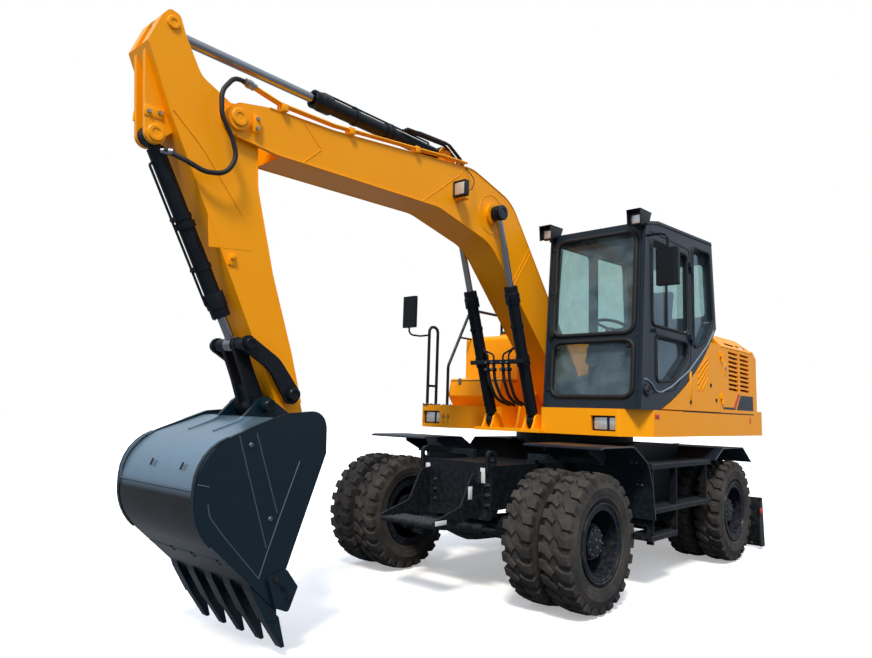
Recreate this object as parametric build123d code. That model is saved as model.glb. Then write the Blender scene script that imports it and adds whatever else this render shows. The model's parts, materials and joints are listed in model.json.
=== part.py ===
"""Wheeled excavator, about 14.5 t, with twin 20-inch wheels, a mono boom and a rear dozer blade.

Millimetres. x runs forward from the swing axis, y to the left, z up from the ground.
Every piece is built there, and the whole machine is moved at the end so that the
origin lies under the middle of its box.
"""
from build123d import *
from math import atan2, cos, degrees, hypot, pi, radians, sin
import os

# Driving dimensions of the whole machine
tyre_radius = 510
twin_spacing = 320
track_mean = 975
wheelbase = 2800
front_axle_x = 1700
half_width = 1225
deck_bottom = 1270
deck_top = 1500
boom_y = -60
running_gap = 0.3
side_gap = 6
sheet = 12
rear_axle_x = front_axle_x - wheelbase
axle_z = tyre_radius

# Pins of the working arm, as (x, z)
boom_foot = (135, 1640)
boom_cylinder_foot = (1020, 1370)
boom_cylinder_head = (1620, 3200)
arm_cylinder_foot = (2153, 3613)
stick_pivot = (4205, 3195)
arm_cylinder_head = (4640, 3635)
bucket_cylinder_foot = (4665, 2970)
bucket_cylinder_head = (4038, 1808)
rocker_pivot = (3702, 1510)
bucket_pivot = (3578, 1215)
link_pivot = (3872, 1434)

nodes = {}


# Shapes that several pieces use

def outline(corners):
    """A closed face in a plane from corners of (across, up, corner radius)."""
    points = [(across, up) for across, up, radius in corners]
    radii = [radius for across, up, radius in corners]
    return make_face(FilletPolyline(*points, radius=radii, close=True))


def sharp(points, radius=0):
    """Corners that all have one radius."""
    return [(across, up, radius) for across, up in points]


def slab(corners, y_low, y_high):
    """A plate with its (x, z) outline upright along the machine."""
    return extrude(Plane.XZ.offset(-y_high) * outline(corners), y_high - y_low)


def plan(corners, z_low, z_high):
    """A plate with its (x, y) outline seen from above."""
    return extrude(Plane.XY.offset(z_low) * outline(corners), z_high - z_low)


def cross(corners, x_low, x_high):
    """A plate with its (y, z) outline upright across the machine."""
    return extrude(Plane.YZ.offset(x_low) * outline(corners), x_high - x_low)


def block(x, y, z):
    """A box between pairs of limits."""
    centre = ((x[0] + x[1]) / 2, (y[0] + y[1]) / 2, (z[0] + z[1]) / 2)
    return Pos(*centre) * Box(x[1] - x[0], y[1] - y[0], z[1] - z[0])


def pin(at, radius, y_low, y_high):
    """A round bar across the machine at (x, z)."""
    return Pos(at[0], (y_low + y_high) / 2, at[1]) * Rot(90, 0, 0) * Cylinder(radius, y_high - y_low)


def bar(start, end, radius):
    """A round bar from one point to another."""
    run = Vector(*end) - Vector(*start)
    middle = (Vector(*end) + Vector(*start)) / 2
    return Plane(origin=middle, z_dir=run) * Cylinder(radius, run.length)


def tube(points, bend, radius):
    """A round tube or rod bent along points."""
    path = FilletPolyline(*points, radius=bend)
    return sweep(Plane(origin=path @ 0, z_dir=path % 0) * Circle(radius), path)


def strip(points, bend, thickness, y_low, y_high):
    """Sheet of one thickness folded along (x, z) points; it grows to the left of its run."""
    path = FilletPolyline(*points, radius=bend)
    face = make_face(offset(path, thickness, side=Side.LEFT))
    return extrude(Plane.XZ.offset(-y_high) * face, y_high - y_low)


def ear(at, radius, roots, y_low, y_high):
    """A plate that narrows from two root points to a round boss about a pin."""
    middle = [(a + b) / 2 for a, b in zip(*roots)]
    run = (at[0] - middle[0], at[1] - middle[1])
    aside = [component * radius / hypot(*run) for component in (-run[1], run[0])]
    sides = [(at[0] + aside[0], at[1] + aside[1]), (at[0] - aside[0], at[1] - aside[1])]
    if (roots[0][0] - middle[0]) * aside[0] + (roots[0][1] - middle[1]) * aside[1] < 0:
        sides.reverse()
    plate = slab(sharp([roots[0], sides[0], sides[1], roots[1]]), y_low, y_high)
    return plate + pin(at, radius, y_low, y_high)


def other_side(shape):
    """The same piece on the machine's right."""
    return mirror(shape, about=Plane.XZ)


def keep(name, *shapes):
    """Stores a node; shapes that don't touch stay separate solids."""
    solids = [solid for shape in shapes for solid in shape.solids()]
    nodes[name] = solids[0] if len(solids) == 1 else Compound(solids)


def along(start, end, distance):
    """The (x, z) point at a distance from start towards end."""
    length = hypot(end[0] - start[0], end[1] - start[1])
    return tuple(a + (b - a) * distance / length for a, b in zip(start, end))


# Wheels: twin rims on one hub, and their tyres, each with two staggered rows of lugs
rim_seat = 250
rim_wall = 13
rim_flange = 292
rim_half_width = 108
flange_thickness = 12
hub_radius = 130
hub_reach = 205
disc_half = 8
lug_count = 18
lug_height = 26
lug_shoulder = 122
tread_bed = 425
spindle_face = track_mean - disc_half - running_gap


def ring(outer, inner, low, high):
    """A flat ring about the Y axis."""
    return pin((0, 0), outer, low, high) - pin((0, 0), inner, low - 1, high + 1)


def rims():
    half = twin_spacing / 2 + rim_half_width
    shape = ring(rim_seat, rim_seat - rim_wall, -half, half)
    shape += ring(rim_seat - 2, hub_radius - 5, -disc_half, disc_half)
    for plane in (-twin_spacing / 2, twin_spacing / 2):
        for low in (plane - rim_half_width, plane + rim_half_width - flange_thickness):
            shape += ring(rim_flange, rim_seat - 2, low, low + flange_thickness)
    shape += pin((0, 0), hub_radius, -disc_half, hub_reach - 20)
    shape += pin((0, 0), hub_radius - 12, 0, hub_reach)
    return shape


def faceted_ring(profile, sides):
    """A ring about the Y axis with flat facets, from its (radius, across) outline."""
    step = 2 * pi / sides
    facets = []
    for (radius, across), (next_radius, next_across) in zip(profile, profile[1:] + profile[:1]):
        for number in range(sides):
            first, last = step * number, step * (number + 1)
            facets.append(make_face(Polyline((radius * cos(first), across, radius * sin(first)),
                                             (radius * cos(last), across, radius * sin(last)),
                                             (next_radius * cos(last), next_across,
                                              next_radius * sin(last)),
                                             (next_radius * cos(first), next_across,
                                              next_radius * sin(first)),
                                             close=True)))
    return Solid(Shell(facets))


def lug_row(turn, low, high):
    """A row of lugs across the tread, as one toothed ring."""
    base = tyre_radius - lug_height
    pitch = 2 * pi / lug_count
    teeth = []
    for number in range(lug_count):
        middle = pitch * (number + turn)
        for radius, share in ((base, -0.29), (tyre_radius, -0.22), (tyre_radius, 0.22), (base, 0.29)):
            angle = middle + pitch * share
            teeth.append((radius * cos(angle), radius * sin(angle)))
    inner = [(tread_bed * cos(pitch * number),
              tread_bed * sin(pitch * number)) for number in range(lug_count)]
    return slab(sharp(teeth), low, high) - slab(sharp(inner), low - 1, high + 1)


def tyre():
    bead = rim_half_width - flange_thickness - running_gap
    inscribed = cos(pi / lug_count)
    half = [((rim_seat + running_gap) / inscribed, bead), ((rim_flange + 3) / inscribed, bead),
            (tread_bed + 15, lug_shoulder)]
    mirrored_half = [(radius, -across) for radius, across in reversed(half)]
    body = faceted_ring(half + mirrored_half, lug_count)
    return body + lug_row(0, 0, lug_shoulder) + lug_row(0.5, -lug_shoulder, 0)


left_rims = rims()
one_tyre = tyre()
for end, axle_x in (("front", front_axle_x), ("rear", rear_axle_x)):
    for side, sign in (("left", 1), ("right", -1)):
        at = Pos(axle_x, sign * track_mean, axle_z)
        keep(f"rims_{end}_{side}", at * (left_rims if sign > 0 else other_side(left_rims)))
        keep(f"tyres_{end}_{side}",
             *[at * Pos(0, y, 0) * one_tyre for y in (-twin_spacing / 2, twin_spacing / 2)])

# Axles: a beam with its differential; the front one ends in yokes that hold the knuckles
kingpin_y = 620
beam_radius = 92
yoke_height = 165
yoke_radius = 58
drum_radius = 155
differential_radius = 148


def beam(axle_x, reach):
    shape = pin((axle_x, axle_z), beam_radius, -reach, reach)
    cone = revolve(make_face(Polyline((0, 0), (differential_radius, 0), (differential_radius - 12, 90),
                                      (beam_radius, 290), (0, 290), close=True)), Axis.Y)
    cone = Pos(axle_x, 0, axle_z) * cone
    return shape + cone + other_side(cone)


def spring_seats(axle_x):
    seat = block((axle_x - 95, axle_x + 95), (250, 350), (axle_z, frame_bottom - running_gap))
    return seat + other_side(seat)


frame_bottom = 660
front_axle = beam(front_axle_x, kingpin_y - 110)
for sign in (1, -1):
    for z_low, z_high in ((axle_z + yoke_height - 30, axle_z + yoke_height),
                          (axle_z - yoke_height, axle_z - yoke_height + 30)):
        yoke_y = sorted((sign * (kingpin_y - 150), sign * kingpin_y))
        front_axle += block((front_axle_x - yoke_radius, front_axle_x + yoke_radius), yoke_y,
                            (z_low, z_high))
        front_axle += Pos(front_axle_x, sign * kingpin_y, (z_low + z_high) / 2) * Cylinder(yoke_radius, 30)
    front_axle += block((front_axle_x - 45, front_axle_x + 45),
                        sorted((sign * (kingpin_y - 160), sign * (kingpin_y - 105))),
                        (axle_z - yoke_height, axle_z + yoke_height))
pivot_block = block((front_axle_x - 120, front_axle_x + 120), (-110, 110),
                    (axle_z + 60, frame_bottom - running_gap))
steering_reach = 235
steering_x = front_axle_x + steering_reach
steering_cylinder = bar((steering_x, -330, axle_z), (steering_x, 330, axle_z), 42)
steering_cylinder += bar((steering_x, -460, axle_z), (steering_x, 460, axle_z), 20)
steering_cylinder += block((front_axle_x + 60, steering_x), (-60, 60), (axle_z - 40, axle_z + 40))
keep("front_axle", front_axle + pivot_block + steering_cylinder)
rear_axle = beam(rear_axle_x, spindle_face - 240) + spring_seats(rear_axle_x)
for sign in (1, -1):
    drum = pin((rear_axle_x, axle_z), drum_radius,
               *sorted((sign * (spindle_face - 250), sign * spindle_face)))
    rear_axle += drum
keep("rear_axle", rear_axle)

knuckle = pin((front_axle_x, axle_z), drum_radius, kingpin_y + yoke_radius + 25, spindle_face)
knuckle_top = yoke_height - 30 - running_gap
knuckle += block((front_axle_x - 50, front_axle_x + 50), (kingpin_y - 45, kingpin_y + 110),
                 (axle_z - knuckle_top, axle_z + knuckle_top))
knuckle += plan([(front_axle_x + 30, kingpin_y + 45, 0), (front_axle_x + 30, kingpin_y - 45, 0),
                 (steering_x - 10, kingpin_y - 60, 15), (steering_x - 10, kingpin_y - 10, 15)],
                axle_z - 18, axle_z + 18)
keep("steering_knuckle_left", knuckle)
keep("steering_knuckle_right", other_side(knuckle))

# Gearbox and drive shafts between the axles
gearbox = block((120, 520), (-190, 190), (430, frame_bottom - running_gap)) + pin((320, 430), 150, -150,
                                                                                  150)
shaft_radius = 42
shaft_end = differential_radius + 2.3
shaft_front = bar((500, 0, 470), (front_axle_x - shaft_end, 0, axle_z), shaft_radius)
shaft_rear = bar((140, 0, 470), (rear_axle_x + shaft_end, 0, axle_z), shaft_radius)
keep("gearbox_and_shafts", gearbox + shaft_front + shaft_rear)

# Chassis frame: a box between the axles, legs to the fenders, and the seat of the swing bearing
frame_half = 395
frame_top = 1010
frame_front = 1890
frame_rear = -1450
plate = 25
bearing_radius = 600
bearing_bottom = 1120
eye_radius = 30
eye_y = 355
eye_plate = 30
eye_height = 1075
eye_x = frame_front + eye_plate / 2

side_profile = [(frame_front, frame_bottom - 50, 0), (frame_front, frame_top, 0), (900, frame_top, 60),
                (640, bearing_bottom, 60),
                (-640, bearing_bottom, 60), (-900, frame_top, 60), (frame_rear, frame_top, 0),
                (frame_rear, 590, 40),
                (-1330, 590, 0), (-1240, frame_bottom, 30), (1830, frame_bottom, 0),
                (1860, frame_bottom - 50, 0)]
chassis = slab(side_profile, -frame_half, frame_half)
hollow = [(frame_front - 200, frame_bottom + plate), (frame_front - 200, frame_top - plate),
          (880, frame_top - plate),
          (620, bearing_bottom - plate), (-620, bearing_bottom - plate), (-880, frame_top - plate),
          (frame_rear + 60, frame_top - plate), (frame_rear + 60, frame_bottom + plate)]
chassis -= slab(sharp(hollow), -frame_half + plate, frame_half - plate)
for low, high in ((-900, 60), (560, 1350)):
    chassis -= block((low, high), (-230, 230), (frame_bottom - 10, frame_bottom + plate + 10))
base_radius = bearing_radius + 60
base_thickness = 40
base_disc = Pos(0, 0, bearing_bottom - base_thickness / 2) * Cylinder(base_radius, base_thickness)
bearing_height = deck_bottom - running_gap - bearing_bottom
bearing = Pos(0, 0, bearing_bottom + bearing_height / 2) * Cylinder(bearing_radius, bearing_height)
bearing -= Pos(0, 0, bearing_bottom + bearing_height / 2) * Cylinder(bearing_radius - 110,
                                                                     bearing_height + 1)
chassis += base_disc + bearing
end_plate = cross([(-frame_half, frame_bottom - 80, 40), (frame_half, frame_bottom - 80, 40),
                   (frame_half, frame_top + 20, 20),
                   (-frame_half, frame_top + 20, 20)], frame_front, frame_front + eye_plate)
chassis += end_plate
for sign in (1, -1):
    eye = slab([(frame_front - 60, frame_top - 60, 0), (frame_front + 55, frame_top - 60, 0),
                (frame_front + 55, eye_height + 55, 50), (frame_front - 60, eye_height + 55, 50)],
               *sorted((sign * (eye_y - eye_plate / 2), sign * (eye_y + eye_plate / 2))))
    eye -= pin((frame_front, eye_height), eye_radius, -500, 500)
    chassis += eye

# Rear blade: a curved mouldboard on two arms, lifted by two cylinders
blade_pivot = (-1420, 520)
blade_head = (-1880, 560)
blade_foot = (-1500, 975)
blade_half = 1220
blade_arm_y = 300
blade_cylinder_y = 130
blade_bottom = 25
blade_height = 545
blade_x = -2010
blade_thickness = 20
lug_half = 30

for y in (-blade_arm_y, blade_arm_y):
    for side in (-1, 1):
        inner = y + side * (lug_half + side_gap)
        outer = inner + side * 25
        chassis += ear(blade_pivot, 60, [(-1300, 630), (frame_rear + 20, 630)], *sorted((inner, outer)))
        chassis += pin(blade_pivot, 45, *sorted((y + side * (lug_half + running_gap), inner)))
for y in (-blade_cylinder_y, blade_cylinder_y):
    for side in (-1, 1):
        inner = y + side * (lug_half + side_gap)
        outer = inner + side * 20
        chassis += ear(blade_foot, 45, [(frame_rear + 20, 1005), (frame_rear + 20, 860)],
                       *sorted((inner, outer)))
        chassis += pin(blade_foot, 32, *sorted((y + side * (lug_half + running_gap), inner)))
keep("chassis_frame", chassis)

board_face = [(blade_x - 105, blade_bottom), (blade_x - 10, blade_bottom + 90),
              (blade_x + 10, blade_bottom + 300),
              (blade_x - 45, blade_bottom + blade_height)]
arc = ThreePointArc(board_face[0], board_face[2], board_face[3])
back = [(x - blade_thickness, z) for x, z in board_face]
arc_back = ThreePointArc(back[3], back[2], back[0])
board_section = make_face(Curve() + [arc, Line(board_face[3], back[3]), arc_back,
                                     Line(back[0], board_face[0])])
blade = extrude(Plane.XZ.offset(-blade_half) * board_section, 2 * blade_half)
cutting_edge = slab(sharp([(blade_x - 135, blade_bottom - 5), (blade_x - 100, blade_bottom - 5),
                           (blade_x - 75, blade_bottom + 60),
                           (blade_x - 100, blade_bottom + 70)]), -blade_half, blade_half)
blade += cutting_edge
for sign in (1, -1):
    cheek = slab([(blade_x - 150, blade_bottom, 10), (blade_x - 20, blade_bottom, 30),
                  (blade_x + 12, blade_bottom + 300, 0),
                  (blade_x - 20, blade_bottom + blade_height, 10),
                  (blade_x - 95, blade_bottom + blade_height, 20)],
                 *sorted((sign * (blade_half - 20), sign * blade_half)))
    blade += cheek
    arm_low, arm_high = sorted((sign * (blade_arm_y - lug_half), sign * (blade_arm_y + lug_half)))
    blade += ear(blade_pivot, 55, [(blade_x - 20, 420), (blade_x - 20, 200)], arm_low, arm_high)
blade += pin((-1700, 430), 55, -blade_arm_y, blade_arm_y)
for y in (-blade_cylinder_y, blade_cylinder_y):
    for side in (-1, 1):
        inner = y + side * (lug_half + side_gap)
        outer = inner + side * 20
        blade += ear(blade_head, 42, [(blade_x - 12, 560), (blade_x - 12, 380)], *sorted((inner, outer)))
keep("dozer_blade", blade)


def cylinder_barrel(foot, head, length, radius, bore, collar, y, eye_half, eye, floor):
    """Barrel along foot to head with its eye at the foot; the bore starts at a floor above the foot."""
    def reach(distance):
        x, z = along(foot, head, distance)
        return (x, y, z)

    neck = eye + 14
    shape = pin(foot, eye, y - eye_half, y + eye_half) + bar(reach(0), reach(neck + 10),
                                                             min(radius, eye_half) - 2)
    shape += bar(reach(neck), reach(length), radius)
    shape += bar(reach(length - collar * 1.5), reach(length), collar)
    shape += bar(reach(length * 0.46), reach(length * 0.46 + 40), radius + 10)
    return shape - bar(reach(floor), reach(length + 1), bore)


def cylinder_rod(foot, head, length, radius, bore, y, eye_half, eye, pin_radius, pin_half, piston=60):
    """Rod of one length with its piston at the inner end, its eye at the head, and the pin that it carries."""
    span = hypot(head[0] - foot[0], head[1] - foot[1])

    def reach(distance):
        x, z = along(foot, head, distance)
        return (x, y, z)

    shape = bar(reach(span - length), reach(span - eye * 0.5), radius)
    shape += bar(reach(span - length), reach(span - length + piston), bore - 0.5)
    return shape + pin(head, eye, y - eye_half, y + eye_half) + pin(head, pin_radius, y - pin_half,
                                                                    y + pin_half)


# Blade cylinders, one pair
blade_barrel = dict(length=340, radius=42, bore=34, collar=48, eye_half=lug_half, eye=42, floor=58)
blade_rod = dict(length=330, radius=25, bore=34, eye_half=lug_half, eye=40, pin_radius=18, piston=25,
                 pin_half=lug_half + side_gap - running_gap)
pair = (-blade_cylinder_y, blade_cylinder_y)
keep("blade_cylinder_barrels",
     *[cylinder_barrel(blade_foot, blade_head, y=y, **blade_barrel) for y in pair])
keep("blade_cylinder_rods", *[cylinder_rod(blade_foot, blade_head, y=y, **blade_rod) for y in pair])

# Fenders: flat over the front wheels with a skirt behind, folded over the rear wheels
fender_top = 1200
fender_sheet = 8
fender_inner = 545
fender_outer = 1250
front_line = [(1720, 1185), (1690, fender_top), (1180, fender_top), (930, 1060), (845, 870), (800, 590)]
front_fender = strip(front_line, [10, 60, 160, 160], fender_sheet, fender_inner, fender_outer)
arms = []
for y in (fender_inner + 40, fender_outer - 260):
    arms.append(slab([(1480, fender_top - fender_sheet, 0), (1480, fender_top - 60, 0), (1250, 1040, 0),
                      (1180, 1110, 0),
                      (1240, fender_top - fender_sheet, 0)], y, y + 20))
front_leg = block((1235, 1295), (frame_half - 90, fender_outer - 240), (1040, 1090))
front_leg += block((1235, 1295), (frame_half - 90, frame_half - 15), (frame_top + running_gap, 1041))
front_fender = front_fender + arms[0] + arms[1] + front_leg
rear_line = [(-580, 1037), (-800, 1150), (-1390, 1150), (-1650, 990)]
rear_fender = strip(rear_line, [30, 30], fender_sheet, fender_inner, fender_outer)
rear_fender += block((-800, -740), (frame_half + running_gap, fender_outer - 250), (1000, 1080))
rear_fender += slab(sharp([(-580, 1044), (-800, 1158), (-1390, 1158), (-1390, 1130), (-1330, 1060),
                           (-700, 1060), (-580, 1030)]),
                    fender_inner, fender_inner + 12)
keep("fenders", *front_fender.solids(), *other_side(front_fender).solids(),
     *rear_fender.solids(), *other_side(rear_fender).solids())

# Side steps: two treads between posts and a low one, with a tool box behind them
step_outer = 1215
step_depth = 290
tread_height = 45
rail_top = 1045
rail_low = 675
step_low = 455
box_inner = frame_half
box_outer = 880
side_step = block((-545, 800), (step_outer - step_depth, step_outer), (rail_top - tread_height, rail_top))
side_step += block((-545, 770), (step_outer - step_depth, step_outer), (rail_low - tread_height, rail_low))
side_step += block((270, 800), (step_outer - 210, step_outer), (step_low - tread_height, step_low))
for x, z_low, z_high in ((-430, rail_low, rail_top), (275, step_low, rail_top),
                         (755, step_low - 30, rail_top)):
    side_step += block((x, x + 16), (step_outer - 60, step_outer), (z_low - tread_height, z_high))
for x in (275, 755):
    side_step += block((x, x + 16), (step_outer - step_depth, step_outer), (rail_low - 150, rail_low))
side_step += block((-560, 700), (box_outer - 2, step_outer - step_depth + 2), (rail_top - 30, rail_top - 5))
side_step += block((-560, 700), (box_outer - 2, step_outer - step_depth + 2), (rail_low - 30, rail_low - 5))
side_box = slab(sharp([(-560, 620), (700, 620), (700, rail_top), (560, 1180), (-560, 1180)]),
                box_inner + running_gap, box_outer)
side_box -= Pos(0, 0, bearing_bottom + 60) * Cylinder(base_radius + 2, 2 * (60 + base_thickness + 2))
keep("side_steps_and_boxes", side_step + side_box, other_side(side_step + side_box))

# Boarding step on the front of the frame: two curved cheeks and a tread
step_half = 285
cheek_sheet = 16
step_back = frame_front + eye_plate + running_gap
cheek = slab([(step_back, 960, 0), (step_back + 110, 945, 40), (step_back + 250, 700, 0), (2475, 615, 18),
              (2490, 560, 18),
              (2330, 540, 60), (step_back, 640, 0)], step_half - cheek_sheet, step_half)
tread = block((2230, 2455), (-step_half + 1, step_half - 1), (565, 590)) + bar((2465, -step_half + 1, 580),
                                                                               (2465, step_half - 1, 580),
                                                                               20)
front_step = cheek + other_side(cheek) + tread
keep("front_step", front_step)

# Upper frame: the turntable plate, hollow skirts with recessed headlamp pockets, and the boom foot webs
skirt_front = 1060
cab_inner = 270
rear_line_x = -1860
left_plan = [(skirt_front, cab_inner, 30), (skirt_front, 1050, 40), (760, half_width, 60),
             (rear_line_x, half_width, 0),
             (rear_line_x, cab_inner, 0)]
right_plan = [(skirt_front, -half_width, 60), (skirt_front, -800, 30), (700, -430, 30),
              (rear_line_x, -430, 0),
              (rear_line_x, -half_width, 0)]


upper = None
for corners in (left_plan, right_plan):
    skirt = plan(corners, deck_bottom, deck_top)
    inside = offset(outline(corners), -sheet)
    skirt -= extrude(Plane.XY.offset(deck_bottom - 1) * inside, deck_top - deck_bottom + 1 - sheet)
    upper = skirt if upper is None else upper + skirt
pocket_z = (deck_bottom + 40, deck_bottom + 170)
pockets = ((790, 1020), (-1180, -950))
for low, high in pockets:
    upper += block((skirt_front - 110, skirt_front - 5), (low - 12, high + 12),
                   (pocket_z[0] - 12, pocket_z[1] + 12))
    upper -= block((skirt_front - 95, skirt_front + 60), (low, high), pocket_z)
main_plate = plan(sharp([(1130, -430), (1130, 310), (rear_line_x, 800), (rear_line_x, -800)]), deck_bottom,
                  deck_bottom + 30)
main_plate += Pos(0, 0, deck_bottom + 15) * Cylinder(bearing_radius + 90, 30)
upper += main_plate
foot_half = 160
web_sheet = 28
for side in (-1, 1):
    inner = boom_y + side * (foot_half + side_gap)
    outer = inner + side * web_sheet
    web = [(700, deck_bottom + 20, 0), (640, deck_top + 20, 60),
           (boom_foot[0] + 100, boom_foot[1] + 60, 60),
           (boom_foot[0] - 90, boom_foot[1] + 120, 80), (-750, deck_top, 60), (-900, deck_bottom + 20, 0)]
    upper += slab(web, *sorted((inner, outer)))
    upper += pin(boom_foot, 75, *sorted((boom_y + side * (foot_half + running_gap), inner)))
boom_cylinder_y = 235
eye_half = 34
for cylinder_side in (-1, 1):
    for side in (-1, 1):
        eye_face = boom_y + cylinder_side * boom_cylinder_y + side * (eye_half + running_gap)
        inner = boom_y + cylinder_side * boom_cylinder_y + side * (eye_half + side_gap)
        outer = inner + side * 20
        upper += ear(boom_cylinder_foot, 62, [(1125, deck_bottom + 15), (905, deck_bottom + 15)],
                     *sorted((inner, outer)))
        upper += pin(boom_cylinder_foot, 48, *sorted((eye_face, inner)))
keep("upper_frame", upper)

# Counterweight: a cast block with a round back, a sloped top and a lip level with the skirts
tail_radius = 2330
lip_radius = 2470
hood_top = 2330
slope_start = -1690
slope_end = (-2050, 2100)
lip_top = deck_top + 40
hood_slope = (hood_top - slope_end[1]) / (slope_start - slope_end[0])


def slope_height(x):
    """Height of the sloped rear top at x."""
    return hood_top - (slope_start - x) * hood_slope


weight = Pos(0, 0, (lip_top + hood_top) / 2) * Cylinder(tail_radius, hood_top - lip_top)
weight += Pos(0, 0, (deck_bottom + lip_top) / 2) * Cylinder(lip_radius, lip_top - deck_bottom)
weight &= slab(sharp([(rear_line_x, deck_bottom), (rear_line_x, slope_height(rear_line_x)), slope_end,
                      (-2200, 2060),
                      (-2600, 1950), (-2600, deck_bottom)]), -half_width, half_width)
keep("counterweight", weight)

# Engine as one block on the turntable, behind the boom foot
keep("engine_block", block((-1780, -905), (-415, 255), (deck_bottom + 30 + running_gap, 2100)))

# Cab: one side profile, a ring of panels 50 thick between two side frames
cab_outer = half_width
wall = 50
cab_corners = dict(front_low=(1010, deck_top), front_high=(895, 3125), roof_front=(640, 3180),
                   roof_rear=(-645, 3250),
                   rear_low=(-735, 2360), sill=(660, deck_top))
sweep_middle = (-90, 1838)


def cab_profile():
    corner = cab_corners
    upper_line = Polyline(corner["sill"], corner["front_low"], corner["front_high"], corner["roof_front"],
                          corner["roof_rear"], corner["rear_low"])
    lower_arc = ThreePointArc(corner["rear_low"], sweep_middle, corner["sill"])
    return make_face(Curve() + [upper_line, lower_arc])


def cab_slab(face, y_low, y_high):
    return extrude(Plane.XZ.offset(-y_high) * face, y_high - y_low)


profile = cab_profile()
inner_profile = offset(profile, -wall, kind=Kind.INTERSECTION)
ring_low = cab_inner + wall
ring_high = cab_outer - wall
cab_ring = cab_slab(profile, ring_low, ring_high) - cab_slab(inner_profile, ring_low - 1, ring_high + 1)
roof_drop = 25
roof_split = cab_corners["front_high"][1] - roof_drop
window_top = roof_split - 50
rear_split = 2400
front_region = slab(sharp([(780, 1560), (1200, 1560), (1200, roof_split), (780, roof_split)]), ring_low,
                    ring_high)
roof_region = block((-1000, 1200), (ring_low, ring_high), (roof_split, roof_split + 400))
rear_region = block((-1000, -300), (ring_low, ring_high), (rear_split, roof_split))
window_radius = 45
front_frame = cab_ring & front_region
for z_low, z_high in ((1600, 2090), (2150, window_top)):
    front_frame -= cross(sharp([(ring_low + 30, z_low), (ring_high - 30, z_low), (ring_high - 30, z_high),
                                (ring_low + 30, z_high)],
                               window_radius), 700, 1200)
rear_frame = cab_ring & rear_region
rear_frame -= cross(sharp([(ring_low + 40, 2480), (ring_high - 40, 2480), (ring_high - 40, window_top),
                           (ring_low + 40, window_top)],
                          window_radius), -900, -500)
roof = cab_ring & roof_region
floor = cab_ring - front_region - roof_region - rear_region
keep("cab_front_frame", front_frame)
keep("cab_rear_frame", rear_frame)
keep("cab_roof", roof)
keep("cab_floor", floor)

door_hinge = (-72, cab_outer + 16)
door_edges = dict(front=835, rear=-60, top=3050)
door_gap = 8
door_corners = [(door_edges["front"], 1640, 30), (door_edges["front"], door_edges["top"], 40),
                (door_edges["rear"], door_edges["top"], 40), (door_edges["rear"], 1960, 30),
                (330, 1690, 60)]
opening_corners = [(door_edges["front"] + door_gap, 1632, 34),
                   (door_edges["front"] + door_gap, door_edges["top"] + door_gap, 44),
                   (door_edges["rear"] - door_gap, door_edges["top"] + door_gap, 44),
                   (door_edges["rear"] - door_gap, 1955, 34),
                   (328, 1680, 60)]
quarter_window = [(-130, 2100, 60), (-130, 3100, 40), (-570, 3120, 60), (-640, 2420, 60), (-430, 2200, 80)]
left_frame = cab_slab(profile, ring_high, cab_outer)
left_frame -= slab(opening_corners, ring_high - 1, cab_outer + 1)
left_frame -= slab(quarter_window, ring_high - 1, cab_outer + 1)
right_windows = [[(870, 1700, 60), (790, 3060, 60), (150, 3080, 60), (150, 1850, 60)],
                 [(70, 1900, 60), (70, 3090, 60), (-590, 3120, 60), (-640, 2450, 60)]]
right_frame = cab_slab(profile, cab_inner, ring_low)
for window in right_windows:
    right_frame -= slab(window, cab_inner - 1, ring_low + 1)
hinge_heights = (2180, 2880)
hinge_radius = 14
for z in hinge_heights:
    knuckle_piece = Pos(*door_hinge, z - 25) * Cylinder(hinge_radius, 50 - running_gap)
    left_frame += knuckle_piece + block((door_hinge[0] - 30, door_hinge[0]),
                                        (cab_outer - 2, door_hinge[1]), (z - 49, z - 1))
keep("cab_left_frame", left_frame)
keep("cab_right_frame", right_frame)

door_inset = 4
door = slab(door_corners, ring_high + door_inset, cab_outer - door_inset)
door_windows = [[(775, 2230, 40), (775, 2990, 40), (0, 2990, 40), (0, 2230, 40)],
                [(700, 1740, 60), (700, 2150, 40), (10, 2150, 40), (10, 2010, 40), (360, 1770, 60)]]
for window in door_windows:
    door -= slab(window, ring_high, cab_outer)
for z in hinge_heights:
    door += Pos(*door_hinge, z + 25) * Cylinder(hinge_radius, 50)
    door += block((door_hinge[0], door_hinge[0] + 40), (cab_outer + 1, door_hinge[1] + 6), (z + 2, z + 48))
    door += block((door_edges["rear"] + 2, door_hinge[0] + 40),
                  (cab_outer - door_inset - 2, cab_outer + 2), (z + 2, z + 48))
door += block((690, 760), (cab_outer - door_inset - 1, cab_outer + 25), (2170, 2200))
keep("cab_door", door)

# Glass, 6 thick, behind the frames
glass = 6
lap = 14


def grown(corners, amount):
    """The same window corners, larger by a lap all round."""
    return offset(outline(corners), amount)


door_panes = [cab_slab(grown(window, lap), ring_high + door_inset - glass,
                       ring_high + door_inset) for window in door_windows]
keep("cab_door_glass", *door_panes)
inner_front = offset(profile, -wall - glass, kind=Kind.INTERSECTION)
glass_ring = cab_slab(inner_profile, ring_low + 8, ring_high - 8) - cab_slab(inner_front, ring_low,
                                                                             ring_high)
front_panes = [glass_ring & block((600, 1200), (ring_low, ring_high), limits) for limits in ((1590, 2105),
                                                                                             (2135, window_top + 15))]
rear_pane = glass_ring & block((-1000, -500), (ring_low + 20, ring_high - 20), (2465, window_top + 15))
side_panes = [cab_slab(grown(quarter_window, lap), ring_high - glass, ring_high)]
side_panes += [cab_slab(grown(window, lap), ring_low, ring_low + glass) for window in right_windows]
keep("cab_glass", *front_panes, rear_pane, *side_panes)

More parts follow.
